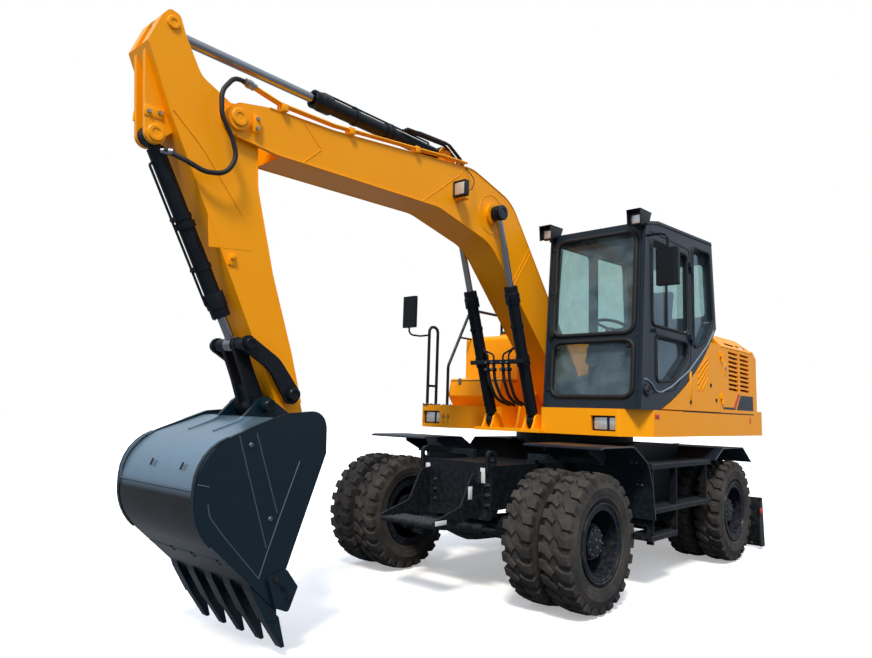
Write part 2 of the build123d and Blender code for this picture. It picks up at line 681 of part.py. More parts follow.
# Seat and controls
seat_y = 740
seat_level = 2010
floor_level = deck_top + wall
seat_riser = slab([(300, floor_level, 0), (300, 1900, 30), (-170, 1960, 10), (-80, 1890, 0)], seat_y - 200,
                  seat_y + 200)
consoles = None
for side in (-1, 1):
    low, high = sorted((seat_y + side * 270, seat_y + side * 370))
    console = slab([(380, 1960, 40), (400, 2110, 40), (-180, 2130, 30), (-180, 2030, 0), (150, 1800, 40)],
                   low, high)
    console += Pos(350, (low + high) / 2, 2170) * Cylinder(16, 140) + Pos(350, (low + high) / 2,
                                                                          2255) * Sphere(28)
    consoles = console if consoles is None else consoles + console
column = bar((760, seat_y, floor_level), (650, seat_y, 2160),
             45) + slab([(850, 1900, 30), (760, 2140, 30), (640, 2170, 30),
                                                                          (700, 1900, 30)], seat_y - 130,
                        seat_y + 130)
wheel_plane = Plane(origin=(600, seat_y, 2235), z_dir=(-0.45, 0, 1))
steering_wheel = wheel_plane * Torus(175, 14) + wheel_plane * Pos(0, 0, -20) * Cylinder(45, 40)
for turn in (90, 210, 330):
    steering_wheel += wheel_plane * Rot(0, 0, turn) * Pos(90, 0, -5) * Box(180, 26, 12)
steering_wheel += bar((640, seat_y, 2120), (604, seat_y, 2220), 22)
cushion = slab([(310, seat_level, 40), (310, 2100, 45), (-190, 2070, 30), (-190, seat_level - 45, 30)],
               seat_y - 240, seat_y + 240)
backrest = slab([(-120, 2085, 35), (-235, 2720, 40), (-330, 2720, 40), (-215, 2085, 35)], seat_y - 235,
                seat_y + 235)
seat_pan = slab([(240, 1900, 20), (240, seat_level - 6.6, 0), (-160, seat_level - 42.6, 0),
                 (-160, 1950, 0)],
                seat_y - 200, seat_y + 200)
keep("seat", cushion, backrest)
seat_frame = seat_riser + seat_pan + consoles + block((0, 120), (seat_y - 275, seat_y + 275), (1905, 1935))
seat_frame += slab(sharp([(-236.1, 2200), (-254.2, 2300), (-266, 2300), (-248, 2200), (-232, 1950),
                          (-160, 1930), (-160, 1960),
                          (-215, 1975)]), seat_y - 60, seat_y + 60)
cab_room = cab_slab(offset(profile, -wall - running_gap, kind=Kind.INTERSECTION), ring_low, ring_high)
keep("cab_controls", (column + steering_wheel) & cab_room, seat_frame & cab_room)

# Engine housing: side panels with grilles, the bulkhead behind the cab, and a hinged hood
housing_front = -862
hood_shoulder = 130
hood_bottom = 2190
grille_rows = 11
grille_columns = (-1225, -1580)
grille_low = 1742
grille_pitch = 48
grille_slot = (300, 26)
panel = 25
vent_height = 24
side_panel = [(housing_front, deck_top), (housing_front, hood_bottom - side_gap),
              (rear_line_x + 1, hood_bottom - side_gap),
              (rear_line_x + 1, deck_top)]
left_panel = slab(sharp(side_panel), half_width - panel, half_width)
slots = []
for column in grille_columns:
    for row in range(grille_rows):
        z = grille_low + grille_pitch * row
        ends = (column - grille_slot[0] / 2, column + grille_slot[0] / 2)
        corners = [(ends[0], z), (ends[1], z + 8), (ends[1], z + 8 + grille_slot[1]),
                   (ends[0], z + grille_slot[1])]
        slots.append(slab(sharp(corners), half_width - hood_shoulder, half_width + 1))
panel_slots = [slot for slot in slots if slot.bounding_box().max.Z < hood_bottom - side_gap - 10]
hood_slots = [slot for slot in slots if slot.bounding_box().min.Z > hood_bottom + 10]
left_panel -= panel_slots
right_panel = slab(sharp(side_panel), -half_width, -half_width + panel)
bulkhead = block((housing_front, housing_front + sheet), (-half_width, half_width),
                 (deck_top, hood_bottom - side_gap))
hood_hinge = (housing_front - 12, hood_top + 4)
service_hinge = (-852, half_width + 12)
service_hinge_heights = (1650, 2080)
hinge_notches = []
housing = left_panel + right_panel + bulkhead
for y in (-800, 0, 800):
    housing += block((housing_front, housing_front + 6), (y - 20, y + 20),
                     (hood_bottom - 60, hood_hinge[1] + 8))
    housing += block((hood_hinge[0], housing_front + 6), (y - 20, y + 20),
                     (hood_hinge[1] - 3, hood_hinge[1] + 8))
    housing += pin(hood_hinge, 10, y - 20, y + 20)
    hinge_notches.append(block((hood_hinge[0] - 14, hood_hinge[0] + 14), (y - 22, y + 22),
                               (hood_top - 14, hood_hinge[1] + 14)))
for z in service_hinge_heights:
    housing += Pos(*service_hinge, z - 25) * Cylinder(10, 50 - running_gap)
    housing += block((service_hinge[0] - 25, service_hinge[0]), (half_width - 2, service_hinge[1] + 4),
                     (z - 48, z - 2))
keep("engine_housing", housing)
hood_section = [(-half_width, hood_bottom), (-half_width, hood_top - hood_shoulder),
                (-half_width + hood_shoulder, hood_top),
                (half_width - hood_shoulder, hood_top), (half_width, hood_top - hood_shoulder),
                (half_width, hood_bottom)]
hood_inside = [(-half_width + sheet, hood_bottom - 1),
               (-half_width + sheet, hood_top - hood_shoulder - sheet / 2),
               (-half_width + hood_shoulder + sheet / 2, hood_top - sheet),
               (half_width - hood_shoulder - sheet / 2, hood_top - sheet),
               (half_width - sheet, hood_top - hood_shoulder - sheet / 2),
               (half_width - sheet, hood_bottom - 1)]
hood = cross(sharp(hood_section), rear_line_x + side_gap, housing_front - side_gap)
hood -= cross(sharp(hood_inside), rear_line_x + side_gap + sheet, housing_front - side_gap - sheet)
hood -= slab(sharp([(slope_start, hood_top), (slope_start, hood_top + 100), (-2100, hood_top + 100),
                    (-2100, slope_height(-2100))]),
             -half_width - 1, half_width + 1)
hood += slab(sharp([(slope_start + 10, hood_top - sheet), (slope_start, hood_top),
                    (rear_line_x + side_gap, slope_height(rear_line_x + side_gap)),
                    (rear_line_x + side_gap, slope_height(rear_line_x + side_gap) - sheet)]),
             -half_width + hood_shoulder, half_width - hood_shoulder)
hood -= hinge_notches + hood_slots
for y in (-800, 0, 800):
    for side in (-1, 1):
        limits = sorted((y + side * (20 + running_gap), y + side * 60))
        hood += pin(hood_hinge, 10, *limits) + block((hood_hinge[0] - 30, hood_hinge[0]), limits,
                                                     (hood_top - 4, hood_hinge[1] + 8))
keep("engine_hood", hood)

service_face = outline(sharp([(-842, deck_top + 12), (-842, hood_bottom + 15), (600, hood_bottom + 15),
                              (600, deck_top + 12)]))
service_face -= offset(profile, 10, kind=Kind.INTERSECTION)
service_face = service_face.faces().sort_by(Axis.X)[0]
service_door = cab_slab(service_face, half_width - panel, half_width)
vent_lines = [((-225, 1863), (-490, 2022)), ((-225, 1803), (-490, 1975)), ((-225, 1742), (-490, 1928)),
              ((-235, 1685), (-470, 1868)), ((-330, 1690), (-480, 1815))]
for low, high in vent_lines:
    vent = [low, (low[0], low[1] + vent_height), (high[0], high[1] + vent_height), high]
    service_door -= slab(sharp(vent), half_width - panel - 1, half_width + 1)
for z in service_hinge_heights:
    service_door += Pos(*service_hinge, z + 25) * Cylinder(10, 50 - running_gap)
    service_door += block((service_hinge[0], service_hinge[0] + 34),
                          (half_width + 1, service_hinge[1] + 4), (z + 2, z + 48))
    service_door += block((service_hinge[0] + 14, service_hinge[0] + 34), (half_width - 2, half_width + 2),
                          (z + 2, z + 48))
keep("service_door", service_door)

# Tank and tool box on the right, hand rails and mirrors
tank = slab([(330, deck_top, 0), (330, 2290, 60), (housing_front + sheet, 2290, 0),
             (housing_front + sheet, deck_top, 0)], -1215, -500)
tank += Pos(60, -860, 2290 + 20) * Cylinder(55, 40)
tool_box = slab([(570, deck_top, 0), (650, 1610, 20), (612, 1800, 40), (329, 1800, 0), (329, deck_top, 0)],
                -1190, -500)
keep("tank_and_tool_box", tank + tool_box)
rail_radius = 16
hoop_y = -1150
hoop_x = (900, 1035)
rail_foot = deck_top + running_gap
hoop = tube([(hoop_x[1], hoop_y, rail_foot), (hoop_x[1], hoop_y, 2330), (hoop_x[0], hoop_y, 2330),
             (hoop_x[0], hoop_y, rail_foot)],
            [60, 60], rail_radius)
hoop += bar((hoop_x[0], hoop_y, 1700), (hoop_x[1], hoop_y, 1700), rail_radius - 3)
mirror_stem = tube([(1030, hoop_y, 2240), (1035, hoop_y - 130, 2235), (1100, hoop_y - 240, 2250),
                    (1090, hoop_y - 250, 2400)], [60, 60], 10)
right_mirror = Pos(1085, hoop_y - 250, 2500) * fillet(Box(50, 190, 340).edges().filter_by(Axis.Z), 20)
slanted = tube([(715, hoop_y, rail_foot), (715, hoop_y, 1930), (345, hoop_y, 2600), (-250, hoop_y, 2600),
                (-250, hoop_y, 2290.3)], [90, 90, 80], rail_radius)
slanted += bar((530, hoop_y, 2265), (330 + running_gap, hoop_y, 2262), 11)
keep("hand_rails", hoop + mirror_stem + right_mirror, slanted)
left_stem = tube([(870, cab_outer + running_gap, 3000), (870, cab_outer + 120, 3000),
                  (890, cab_outer + 190, 2970),
                  (890, cab_outer + 190, 2840)], [60, 50], 11)
left_mirror = Pos(890, cab_outer + 190, 2700) * fillet(Box(90, 190, 310).edges().filter_by(Axis.Z), 30)
keep("cab_mirror", left_stem + left_mirror)

# Lamps: two in the skirts, two on the roof, one on the boom
headlamps = []
for low, high in pockets:
    headlamps.append(block((skirt_front - 95, skirt_front - 25), (low + 8, high - 8),
                           (pocket_z[0] + 8, pocket_z[1] - 8)))
work_lamps = []
for y in (cab_inner + 20, cab_outer - 45):
    case = slab([(1000, 3110, 0), (1018, 3215, 0), (800, 3235, 0), (840, 3120, 0)], y - 60, y + 60)
    case += slab(sharp([(880, 3060), (935, 3060), (935, 3120), (880, 3120)]), y - 20, y + 20)
    work_lamps.append(case - cab_slab(offset(profile, running_gap, kind=Kind.INTERSECTION),
                                      cab_inner - 100, cab_outer + 100))
keep("lamps", *headlamps, *work_lamps)

# Boom: a bent box with a forked tip, bosses for its cylinders and a bracket for the arm cylinder
boom_half = 160
fork_inner = 131
fork_back = 3860
stick_half = fork_inner - side_gap
boom_line = [(4205, 3300, 90), (4000, 3342, 200), (3450, 3368, 400), (1900, 3545, 150), (1321, 3390, 420),
             (20, 1745, 100),
             (140, 1500, 110), (260, 1540, 60), (1627, 2936, 480), (2330, 3098, 400), (3900, 3052, 300),
             (4249, 3090, 60), (4312, 3200, 60)]


def arm_slab(corners, half):
    return slab(corners, boom_y - half, boom_y + half)


def arm_pin(at, radius, half):
    return pin(at, radius, boom_y - half, boom_y + half)


def pair_ears(at, radius, roots, inner, thickness):
    plates = None
    for side in (-1, 1):
        limits = sorted((boom_y + side * inner, boom_y + side * (inner + thickness)))
        plates = ear(at, radius, roots, *limits) if plates is None else plates + ear(at, radius, roots,
                                                                                     *limits)
    return plates


boom = arm_slab(boom_line, boom_half)
boom -= block((fork_back, 4500), (boom_y - fork_inner, boom_y + fork_inner), (2900, 3500))
head_pin_half = eye_half + 12
boom += arm_pin(boom_cylinder_head, 92, boom_cylinder_y - head_pin_half - running_gap)
eye_plate_thickness = 30
arm_eye_half = 40
boom += pair_ears(arm_cylinder_foot, 72, [(2270, 3480), (1980, 3500)], arm_eye_half + side_gap,
                  eye_plate_thickness)
for side in (-1, 1):
    boom += pin(arm_cylinder_foot, 50,
                *sorted((boom_y + side * (arm_eye_half + running_gap),
                         boom_y + side * (arm_eye_half + side_gap))))
    boom += pin(stick_pivot, 78,
                *sorted((boom_y + side * (boom_half - 1), boom_y + side * (boom_half + 22))))
keep("boom", boom)
lamp_at = (2095, 3290)
boom_lamp = Pos(lamp_at[0], boom_y + boom_half + 60, lamp_at[1]) * Rot(0, 90, 0) * Cylinder(60, 70)
boom_lamp += block((lamp_at[0] - 30, lamp_at[0] + 30), (boom_y + boom_half, boom_y + boom_half + 90),
                   (lamp_at[1] - 80, lamp_at[1] - 56))
keep("boom_lamp", boom_lamp)

# Boom cylinders, one pair
boom_barrel = dict(length=1260, radius=54, bore=44, collar=62, eye_half=eye_half, eye=60, floor=110)
boom_rod = dict(length=1315, radius=30, bore=44, eye_half=eye_half, eye=62, pin_radius=32,
                pin_half=head_pin_half)
pair = (boom_y - boom_cylinder_y, boom_y + boom_cylinder_y)
keep("boom_cylinder_barrels",
     *[cylinder_barrel(boom_cylinder_foot, boom_cylinder_head, y=y, **boom_barrel) for y in pair])
keep("boom_cylinder_rods",
     *[cylinder_rod(boom_cylinder_foot, boom_cylinder_head, y=y, **boom_rod) for y in pair])

# Arm cylinder over the boom
arm_barrel = dict(length=1375, radius=56, bore=46, collar=66, eye_half=arm_eye_half, eye=80, floor=150)
arm_rod = dict(length=1500, radius=34, bore=46, eye_half=arm_eye_half, eye=60, pin_radius=30,
               pin_half=arm_eye_half)
keep("arm_cylinder_barrel", cylinder_barrel(arm_cylinder_foot, arm_cylinder_head, y=boom_y, **arm_barrel))
keep("arm_cylinder_rod", cylinder_rod(arm_cylinder_foot, arm_cylinder_head, y=boom_y, **arm_rod))

# Stick: a tapered box with open ears at its top, ears for the bucket cylinder and a round end
stick_line = [(4600, 3700, 40), (4665, 3715, 40), (4705, 3660, 30), (4778, 3471, 8), (4614, 3094, 0),
              (3826, 1561, 200), (3655, 1160, 80), (3560, 1128, 70), (3500, 1250, 60), (3569, 1400, 200),
              (3684, 1781, 0), (3860, 2266, 0), (4010, 2800, 300), (4040, 3180, 160), (4205, 3278, 100),
              (4440, 3388, 120), (4555, 3590, 60), (4575, 3640, 0)]
stick = arm_slab(stick_line, stick_half)
stick -= block((4440, 4950), (boom_y - arm_eye_half - side_gap, boom_y + arm_eye_half + side_gap),
               (3470, 3800))
for side in (-1, 1):
    stick += pin(arm_cylinder_head, 45,
                 *sorted((boom_y + side * (arm_eye_half + running_gap),
                          boom_y + side * (arm_eye_half + side_gap + 5))))
stick += pair_ears(bucket_cylinder_foot, 62, [(4766, 3450), (4560, 3010)], arm_eye_half + running_gap,
                   eye_plate_thickness)
bucket_ear_inner = fork_inner
bucket_ear = 25
rocker_inner = bucket_ear_inner + bucket_ear + side_gap
stick += arm_pin(stick_pivot, 100, fork_inner - running_gap)
stick += arm_pin(bucket_pivot, 72, bucket_ear_inner - running_gap)
stick += arm_pin(rocker_pivot, 52, rocker_inner - running_gap)
keep("stick", stick)

# Bucket cylinder, rocker plates and link
bucket_barrel = dict(length=1130, radius=50, bore=41, collar=58, eye_half=arm_eye_half, eye=58, floor=90)
bucket_rod = dict(length=1180, radius=30, bore=41, eye_half=arm_eye_half, eye=48, pin_radius=28,
                  pin_half=arm_eye_half + side_gap - running_gap)
keep("bucket_cylinder_barrel", cylinder_barrel(bucket_cylinder_foot, bucket_cylinder_head, y=boom_y,
                                               **bucket_barrel))
keep("bucket_cylinder_rod", cylinder_rod(bucket_cylinder_foot, bucket_cylinder_head, y=boom_y,
                                         **bucket_rod))


def link_plate(start, end, start_radius, end_radius, bow, y_low, y_high):
    """A plate between two pins, bowed to one side in the middle."""
    run = (end[0] - start[0], end[1] - start[1])
    length = hypot(*run)
    aside = (-run[1] / length, run[0] / length)
    waist = min(start_radius, end_radius)
    middle = ((start[0] + end[0]) / 2 + aside[0] * bow, (start[1] + end[1]) / 2 + aside[1] * bow)
    offsets = ((start, start_radius), (middle, waist), (end, end_radius))
    one_side = [(point[0] + aside[0] * reach, point[1] + aside[1] * reach) for point, reach in offsets]
    back = [(point[0] - aside[0] * reach, point[1] - aside[1] * reach) for point,
            reach in reversed(offsets)]
    corners = [(x, z, 220 if number in (1, 4) and bow else 0) for number,
               (x, z) in enumerate(one_side + back)]
    return slab(corners, y_low, y_high) + pin(start, start_radius, y_low, y_high) + pin(end, end_radius,
                                                                                        y_low, y_high)


link_inner = arm_eye_half + side_gap
link_sheet = 30
rockers = []
links = None
for side in (-1, 1):
    low, high = sorted((boom_y + side * rocker_inner, boom_y + side * (rocker_inner + 25)))
    rocker = link_plate(rocker_pivot, bucket_cylinder_head, 62, 50, 45, low, high)
    rocker += pin(bucket_cylinder_head, 40,
                  *sorted((boom_y + side * (link_inner + link_sheet + running_gap),
                           boom_y + side * (rocker_inner + 45))))
    rocker += pin(rocker_pivot, 45,
                  *sorted((boom_y + side * rocker_inner, boom_y + side * (rocker_inner + 50))))
    rockers.append(rocker)
    low, high = sorted((boom_y + side * link_inner, boom_y + side * (link_inner + link_sheet)))
    plate_piece = link_plate(bucket_cylinder_head, link_pivot, 44, 56, 0, low, high)
    links = plate_piece if links is None else links + plate_piece
keep("bucket_rockers", *rockers)
links += arm_pin(link_pivot, 52, bucket_ear_inner - running_gap)
web_start = along(link_pivot, bucket_cylinder_head, 120)
links += link_plate(link_pivot, web_start, 40, 30, 0, boom_y - link_inner - 1, boom_y + link_inner + 1)
keep("bucket_link", links)

# Bucket: side plates, a rolled shell, ears, lip, teeth and side cutters
bucket_half = 460
side_sheet = 25
shell_sheet = 18
back_radius = 340
side_line = [(3628, 1418, 110), (3620, 1155, 60), (3880, 485, 0), (3948, 300, 0), (4477, 784, back_radius),
             (4477, 1188, back_radius), (3930, 1392, 150)]
shell_line = [(3948, 300), (4477, 784), (4477, 1188), (3935, 1372), (3826, 1350), (3712, 1190)]
bucket = strip(shell_line, [back_radius, back_radius, 60, 60], shell_sheet, boom_y - bucket_half,
               boom_y + bucket_half)
for side in (-1, 1):
    bucket += slab(side_line,
                   *sorted((boom_y + side * (bucket_half - side_sheet), boom_y + side * bucket_half)))
    low, high = sorted((boom_y + side * bucket_ear_inner, boom_y + side * (bucket_ear_inner + bucket_ear)))
    bucket += slab([(3528, 1282, 0), (3838, 1482, 0), (3925, 1466, 0), (4040, 1350, 160), (4215, 1284, 0),
                    (4195, 1268, 0),
                    (3935, 1360, 0), (3832, 1340, 0), (3722, 1183, 0), (3620, 1140, 0)], low, high)
    bucket += pin(bucket_pivot, 84, low, high) + pin(link_pivot, 58, low, high)
    bucket += pin(link_pivot, 42,
                  *sorted((boom_y + side * bucket_ear_inner,
                           boom_y + side * (bucket_ear_inner + bucket_ear + 45))))
    bucket += pin(bucket_pivot, 60,
                  *sorted((boom_y + side * bucket_ear_inner,
                           boom_y + side * (bucket_ear_inner + bucket_ear + 30))))
    bucket += slab([(4010, 470, 15), (3885, 505, 15), (3800, 396, 15), (3860, 262, 20), (3950, 300, 0)],
                   *sorted((boom_y + side * (bucket_half - 1), boom_y + side * (bucket_half + 22))))
bucket += slab(sharp([(3930, 284), (4080, 420), (4062, 440), (3925, 318)]), boom_y - bucket_half,
               boom_y + bucket_half)
tooth_count = 5
tooth_spacing = 2 * (bucket_half - 50) / (tooth_count - 1)
for number in range(tooth_count):
    y = boom_y - bucket_half + 50 + tooth_spacing * number
    bucket += slab(sharp([(4120, 474), (4092, 402), (3990, 232), (3915, 225), (3922, 315), (4040, 420)]),
                   y - 40, y + 40)
    bucket += slab(sharp([(3998, 248), (3862, 58), (3842, 62), (3893, 236), (3930, 268)]), y - 30, y + 30)
keep("bucket", bucket)

# The machine is moved so that the origin lies under the middle of its box
low_x = min(shape.bounding_box().min.X for shape in nodes.values())
high_x = max(shape.bounding_box().max.X for shape in nodes.values())
shift = -(low_x + high_x) / 2

os.makedirs("parts", exist_ok=True)
for name, shape in nodes.items():
    export_step(Pos(shift, 0, 0) * shape, f"parts/{name}.step")
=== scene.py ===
"""Wheeled excavator: the finish and the small parts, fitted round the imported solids."""
import json
import bmesh
import bpy
from math import cos, pi, radians, sin, tan
from mathutils import Matrix, Vector


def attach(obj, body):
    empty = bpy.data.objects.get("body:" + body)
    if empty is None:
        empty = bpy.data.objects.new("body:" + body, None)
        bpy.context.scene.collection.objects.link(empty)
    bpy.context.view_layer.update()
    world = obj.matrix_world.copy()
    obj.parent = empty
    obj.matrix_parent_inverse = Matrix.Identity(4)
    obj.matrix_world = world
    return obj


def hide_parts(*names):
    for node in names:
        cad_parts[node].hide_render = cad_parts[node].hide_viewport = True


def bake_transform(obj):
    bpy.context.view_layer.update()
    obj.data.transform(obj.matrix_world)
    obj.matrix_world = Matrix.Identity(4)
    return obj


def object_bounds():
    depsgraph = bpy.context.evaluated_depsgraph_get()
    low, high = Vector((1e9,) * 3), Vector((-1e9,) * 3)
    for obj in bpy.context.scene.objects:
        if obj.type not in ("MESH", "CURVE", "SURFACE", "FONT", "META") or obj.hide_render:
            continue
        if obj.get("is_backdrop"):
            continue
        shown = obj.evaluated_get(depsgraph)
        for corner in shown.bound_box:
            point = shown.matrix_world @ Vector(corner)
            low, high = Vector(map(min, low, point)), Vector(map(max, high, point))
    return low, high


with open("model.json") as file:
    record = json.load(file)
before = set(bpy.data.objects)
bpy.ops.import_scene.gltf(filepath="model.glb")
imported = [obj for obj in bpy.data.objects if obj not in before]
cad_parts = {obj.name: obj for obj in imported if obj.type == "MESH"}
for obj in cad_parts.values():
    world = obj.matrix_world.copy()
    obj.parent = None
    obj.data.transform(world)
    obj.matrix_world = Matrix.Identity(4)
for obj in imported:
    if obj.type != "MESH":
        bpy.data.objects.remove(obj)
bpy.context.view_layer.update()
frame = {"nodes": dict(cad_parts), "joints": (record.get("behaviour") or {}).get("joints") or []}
nodes = frame["nodes"]
pivot = {joint["name"]: Vector(joint["pos_m"]) for joint in frame["joints"] if "pos_m" in joint}

# Floor, light and camera. A pale sheet of studio floor, one soft sun high on the camera's side and an even
# sky, at a level where a colour shows about as it is written.
scene = bpy.context.scene
scene.view_settings.view_transform = "Standard"


def linear(code):
    """A colour written as sRGB hex, as the shader's linear red, green, blue and alpha."""
    channels = [int(code[place:place + 2], 16) / 255 for place in (1, 3, 5)]
    return tuple(c / 12.92 if c <= 0.04045 else ((c + 0.055) / 1.055) ** 2.4 for c in channels) + (1.0,)


def fill(tree, node, values, links):
    """Sets a node's settings and free sockets, and links its others from sockets or nodes' first outputs."""
    for key, value in values.items():
        if isinstance(key, int) or key in node.inputs:
            node.inputs[key].default_value = value
        else:
            setattr(node, key, value)
    for key, source in links.items():
        tree.links.new(getattr(source, "outputs", [source])[0], node.inputs[key])
    return node


def add(tree, kind, values=None, links=None):
    """Adds a shader node of a kind, filled from values and links."""
    return fill(tree, tree.nodes.new(f"ShaderNode{kind}"), values or {}, links or {})


def blank_finish(name):
    """A new material, with its node tree and its shader."""
    made = bpy.data.materials.new(name)
    made.use_nodes = True
    return made, made.node_tree, made.node_tree.nodes["Principled BSDF"]


world = bpy.data.worlds.new("even sky")
world.use_nodes = True
scene.world = world
sky = world.node_tree
sky.nodes.clear()
path = add(sky, "LightPath")
seen = add(sky, "Math", {"operation": "MAXIMUM"}, {0: path.outputs["Is Camera Ray"],
                                                   1: path.outputs["Is Transmission Ray"]})
direction = add(sky, "TexCoord")
upward = add(sky, "SeparateXYZ", {}, {0: direction.outputs["Object"]})
brightness = add(sky, "MapRange", {"From Min": -0.1, "From Max": 0.9, "To Min": 0.42, "To Max": 1.05},
                 {0: upward.outputs["Z"]})
ambient = add(sky, "Background", {"Color": linear("#E6F0FF")}, {"Strength": brightness})
backdrop = add(sky, "Background", {"Color": (1, 1, 1, 1), "Strength": 1.0})
choice = add(sky, "MixShader", {}, {0: seen, 1: ambient, 2: backdrop})
add(sky, "OutputWorld", {}, {"Surface": choice})

sun = bpy.data.objects.new("soft sun", bpy.data.lights.new("soft sun", "SUN"))
sun.data.energy = 3.3
sun.data.angle = radians(12)
sun.data.color = linear("#FFF8EC")[:3]
sun.rotation_euler = (radians(38), radians(8), radians(112))
scene.collection.objects.link(sun)

studio, tree, shader = blank_finish("pale studio floor")
onlooker = add(tree, "LightPath").outputs["Is Camera Ray"]
floor_tone = add(tree, "Mix", {"data_type": "RGBA", 6: linear("#70757C"), 7: linear("#F7F7F7")},
                 {0: onlooker})
floor_glow = add(tree, "Math", {"operation": "MULTIPLY", 1: 0.34}, {0: onlooker})
fill(tree, shader, {"Roughness": 1.0, "Specular IOR Level": 0.0, "Emission Color": (1, 1, 1, 1)},
     {"Base Color": floor_tone.outputs[2], "Emission Strength": floor_glow})
bm = bmesh.new()
bmesh.ops.create_grid(bm, x_segments=1, y_segments=1, size=60)
bmesh.ops.translate(bm, verts=bm.verts, vec=(0, 0, -0.003))
mesh = bpy.data.meshes.new("floor")
bm.to_mesh(mesh)
bm.free()
mesh.materials.append(studio)
floor = bpy.data.objects.new("floor", mesh)
scene.collection.objects.link(floor)
floor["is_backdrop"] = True

camera = bpy.data.objects.new("camera", bpy.data.cameras.new("camera"))
camera.data.lens = 28.09
camera.data.sensor_width = 36
camera.data.clip_end = 200
turn, rise, roll = radians(-137.88), radians(6.93), radians(1.75)
ahead = Vector((cos(rise) * cos(turn), cos(rise) * sin(turn), sin(rise)))
level = ahead.cross(Vector((0, 0, 1))).normalized()
upright = level.cross(ahead)
right = level * cos(roll) + upright * sin(roll)
top = upright * cos(roll) - level * sin(roll)
camera.matrix_world = Matrix(((right.x, top.x, -ahead.x, pivot["swing"].x + 6.343),
                              (right.y, top.y, -ahead.y, 3.742), (right.z, top.z, -ahead.z, 1.429),
                              (0, 0, 0, 1)))
scene.collection.objects.link(camera)
scene.camera = camera

# Paintwork on the steel. Two-pack enamel sprayed on plate and castings: a slight orange peel, soft gloss, the
# tone a little uneven over each panel, and a film of pale dust that gathers low down.


def mottled(name, tones, patch, patch_detail, dull, grain, grain_detail, depth):
    """A material whose tone and roughness drift in patches under a fine relief, both counted in a metre."""
    finish, tree, shader = blank_finish(name)
    place = add(tree, "TexCoord").outputs["Object"]
    cloud = add(tree, "TexNoise", {"Scale": patch, "Detail": patch_detail}, {"Vector": place}).outputs["Fac"]
    tone = add(tree, "Mix", {"data_type": "RGBA", 6: tones[0], 7: tones[1]}, {0: cloud})
    gloss = add(tree, "MapRange", {"To Min": dull[0], "To Max": dull[1]}, {0: cloud})
    fine = add(tree, "TexNoise", {"Scale": grain, "Detail": grain_detail}, {"Vector": place})
    bump = add(tree, "Bump", {"Strength": depth, "Distance": 0.002}, {"Height": fine.outputs["Fac"]})
    fill(tree, shader, {}, {"Base Color": tone.outputs[2], "Roughness": gloss, "Normal": bump})
    return finish, tree, shader, place


def enamel(name, slot, code, shade, roughness, dust, dust_top, gloss=0.18):
    """Sprayed enamel of two tones under dust up to a height in metres, and the slot that wears it."""
    paint, tree, shader, place = mottled(name, (linear(code), linear(shade)), 1.7, 3.0,
                                         (roughness - 0.05, roughness + 0.1), 320.0, 1.0, 0.05)
    height = add(tree, "SeparateXYZ", {}, {0: place}).outputs["Z"]
    low = add(tree, "MapRange", {"From Min": 0.1, "From Max": dust_top, "To Min": dust,
                                 "To Max": dust * 0.12}, {0: height})
    grit = add(tree, "TexNoise", {"Scale": 26.0, "Detail": 5.0, "Roughness": 0.7}, {"Vector": place})
    patches = add(tree, "MapRange", {"From Min": 0.42, "From Max": 0.72}, {0: grit.outputs["Fac"]})
    amount = add(tree, "Math", {"operation": "MULTIPLY"}, {0: low, 1: patches})
    coat = shader.inputs["Base Color"].links[0].from_socket
    dusty = add(tree, "Mix", {"data_type": "RGBA", 7: linear("#8C8070")}, {0: amount, 6: coat})
    fill(tree, shader, {"Specular IOR Level": gloss, "Coat Weight": 0.08, "Coat Roughness": 0.12},
         {"Base Color": dusty.outputs[2]})
    return paint, slot


def paint_nodes(finish, *names):
    """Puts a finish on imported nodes."""
    for name in names:
        nodes[name].material_slots[0].material = finish[0]


yellow = enamel("chrome yellow enamel", "yellow_paint", "#FFA804", "#FB9C00", 0.34, 0.03, 1.6)
chassis_blue = enamel("blue-black chassis enamel", "dark_paint", "#0C151D", "#091118", 0.42, 0.16, 1.3)
fender_blue = enamel("blue-grey fender enamel", "fender_paint", "#15202B", "#101A24", 0.38, 0.14, 1.3)
rim_blue = enamel("navy wheel enamel", "rim_paint", "#0F1926", "#0B131E", 0.34, 0.2, 1.2)
cab_grey = enamel("slate cab enamel", "cab_paint", "#1C2935", "#17232E", 0.3, 0.03, 1.6, 0.3)
bucket_blue = enamel("dark bucket enamel", "dark_paint", "#07202C", "#061A25", 0.3, 0.02, 1.2, 0.3)
paint_nodes(yellow, "upper_frame", "engine_housing", "engine_hood", "service_door", "tank_and_tool_box",
            "boom", "stick", "counterweight")
paint_nodes(chassis_blue, "chassis_frame", "front_step", "side_steps_and_boxes", "front_axle", "rear_axle",
            "gearbox_and_shafts", "steering_knuckle_left", "steering_knuckle_right", "dozer_blade",
            "blade_cylinder_barrels", "boom_cylinder_barrels", "arm_cylinder_barrel",
            "bucket_cylinder_barrel", "hand_rails", "cab_mirror", "bucket_rockers", "bucket_link")
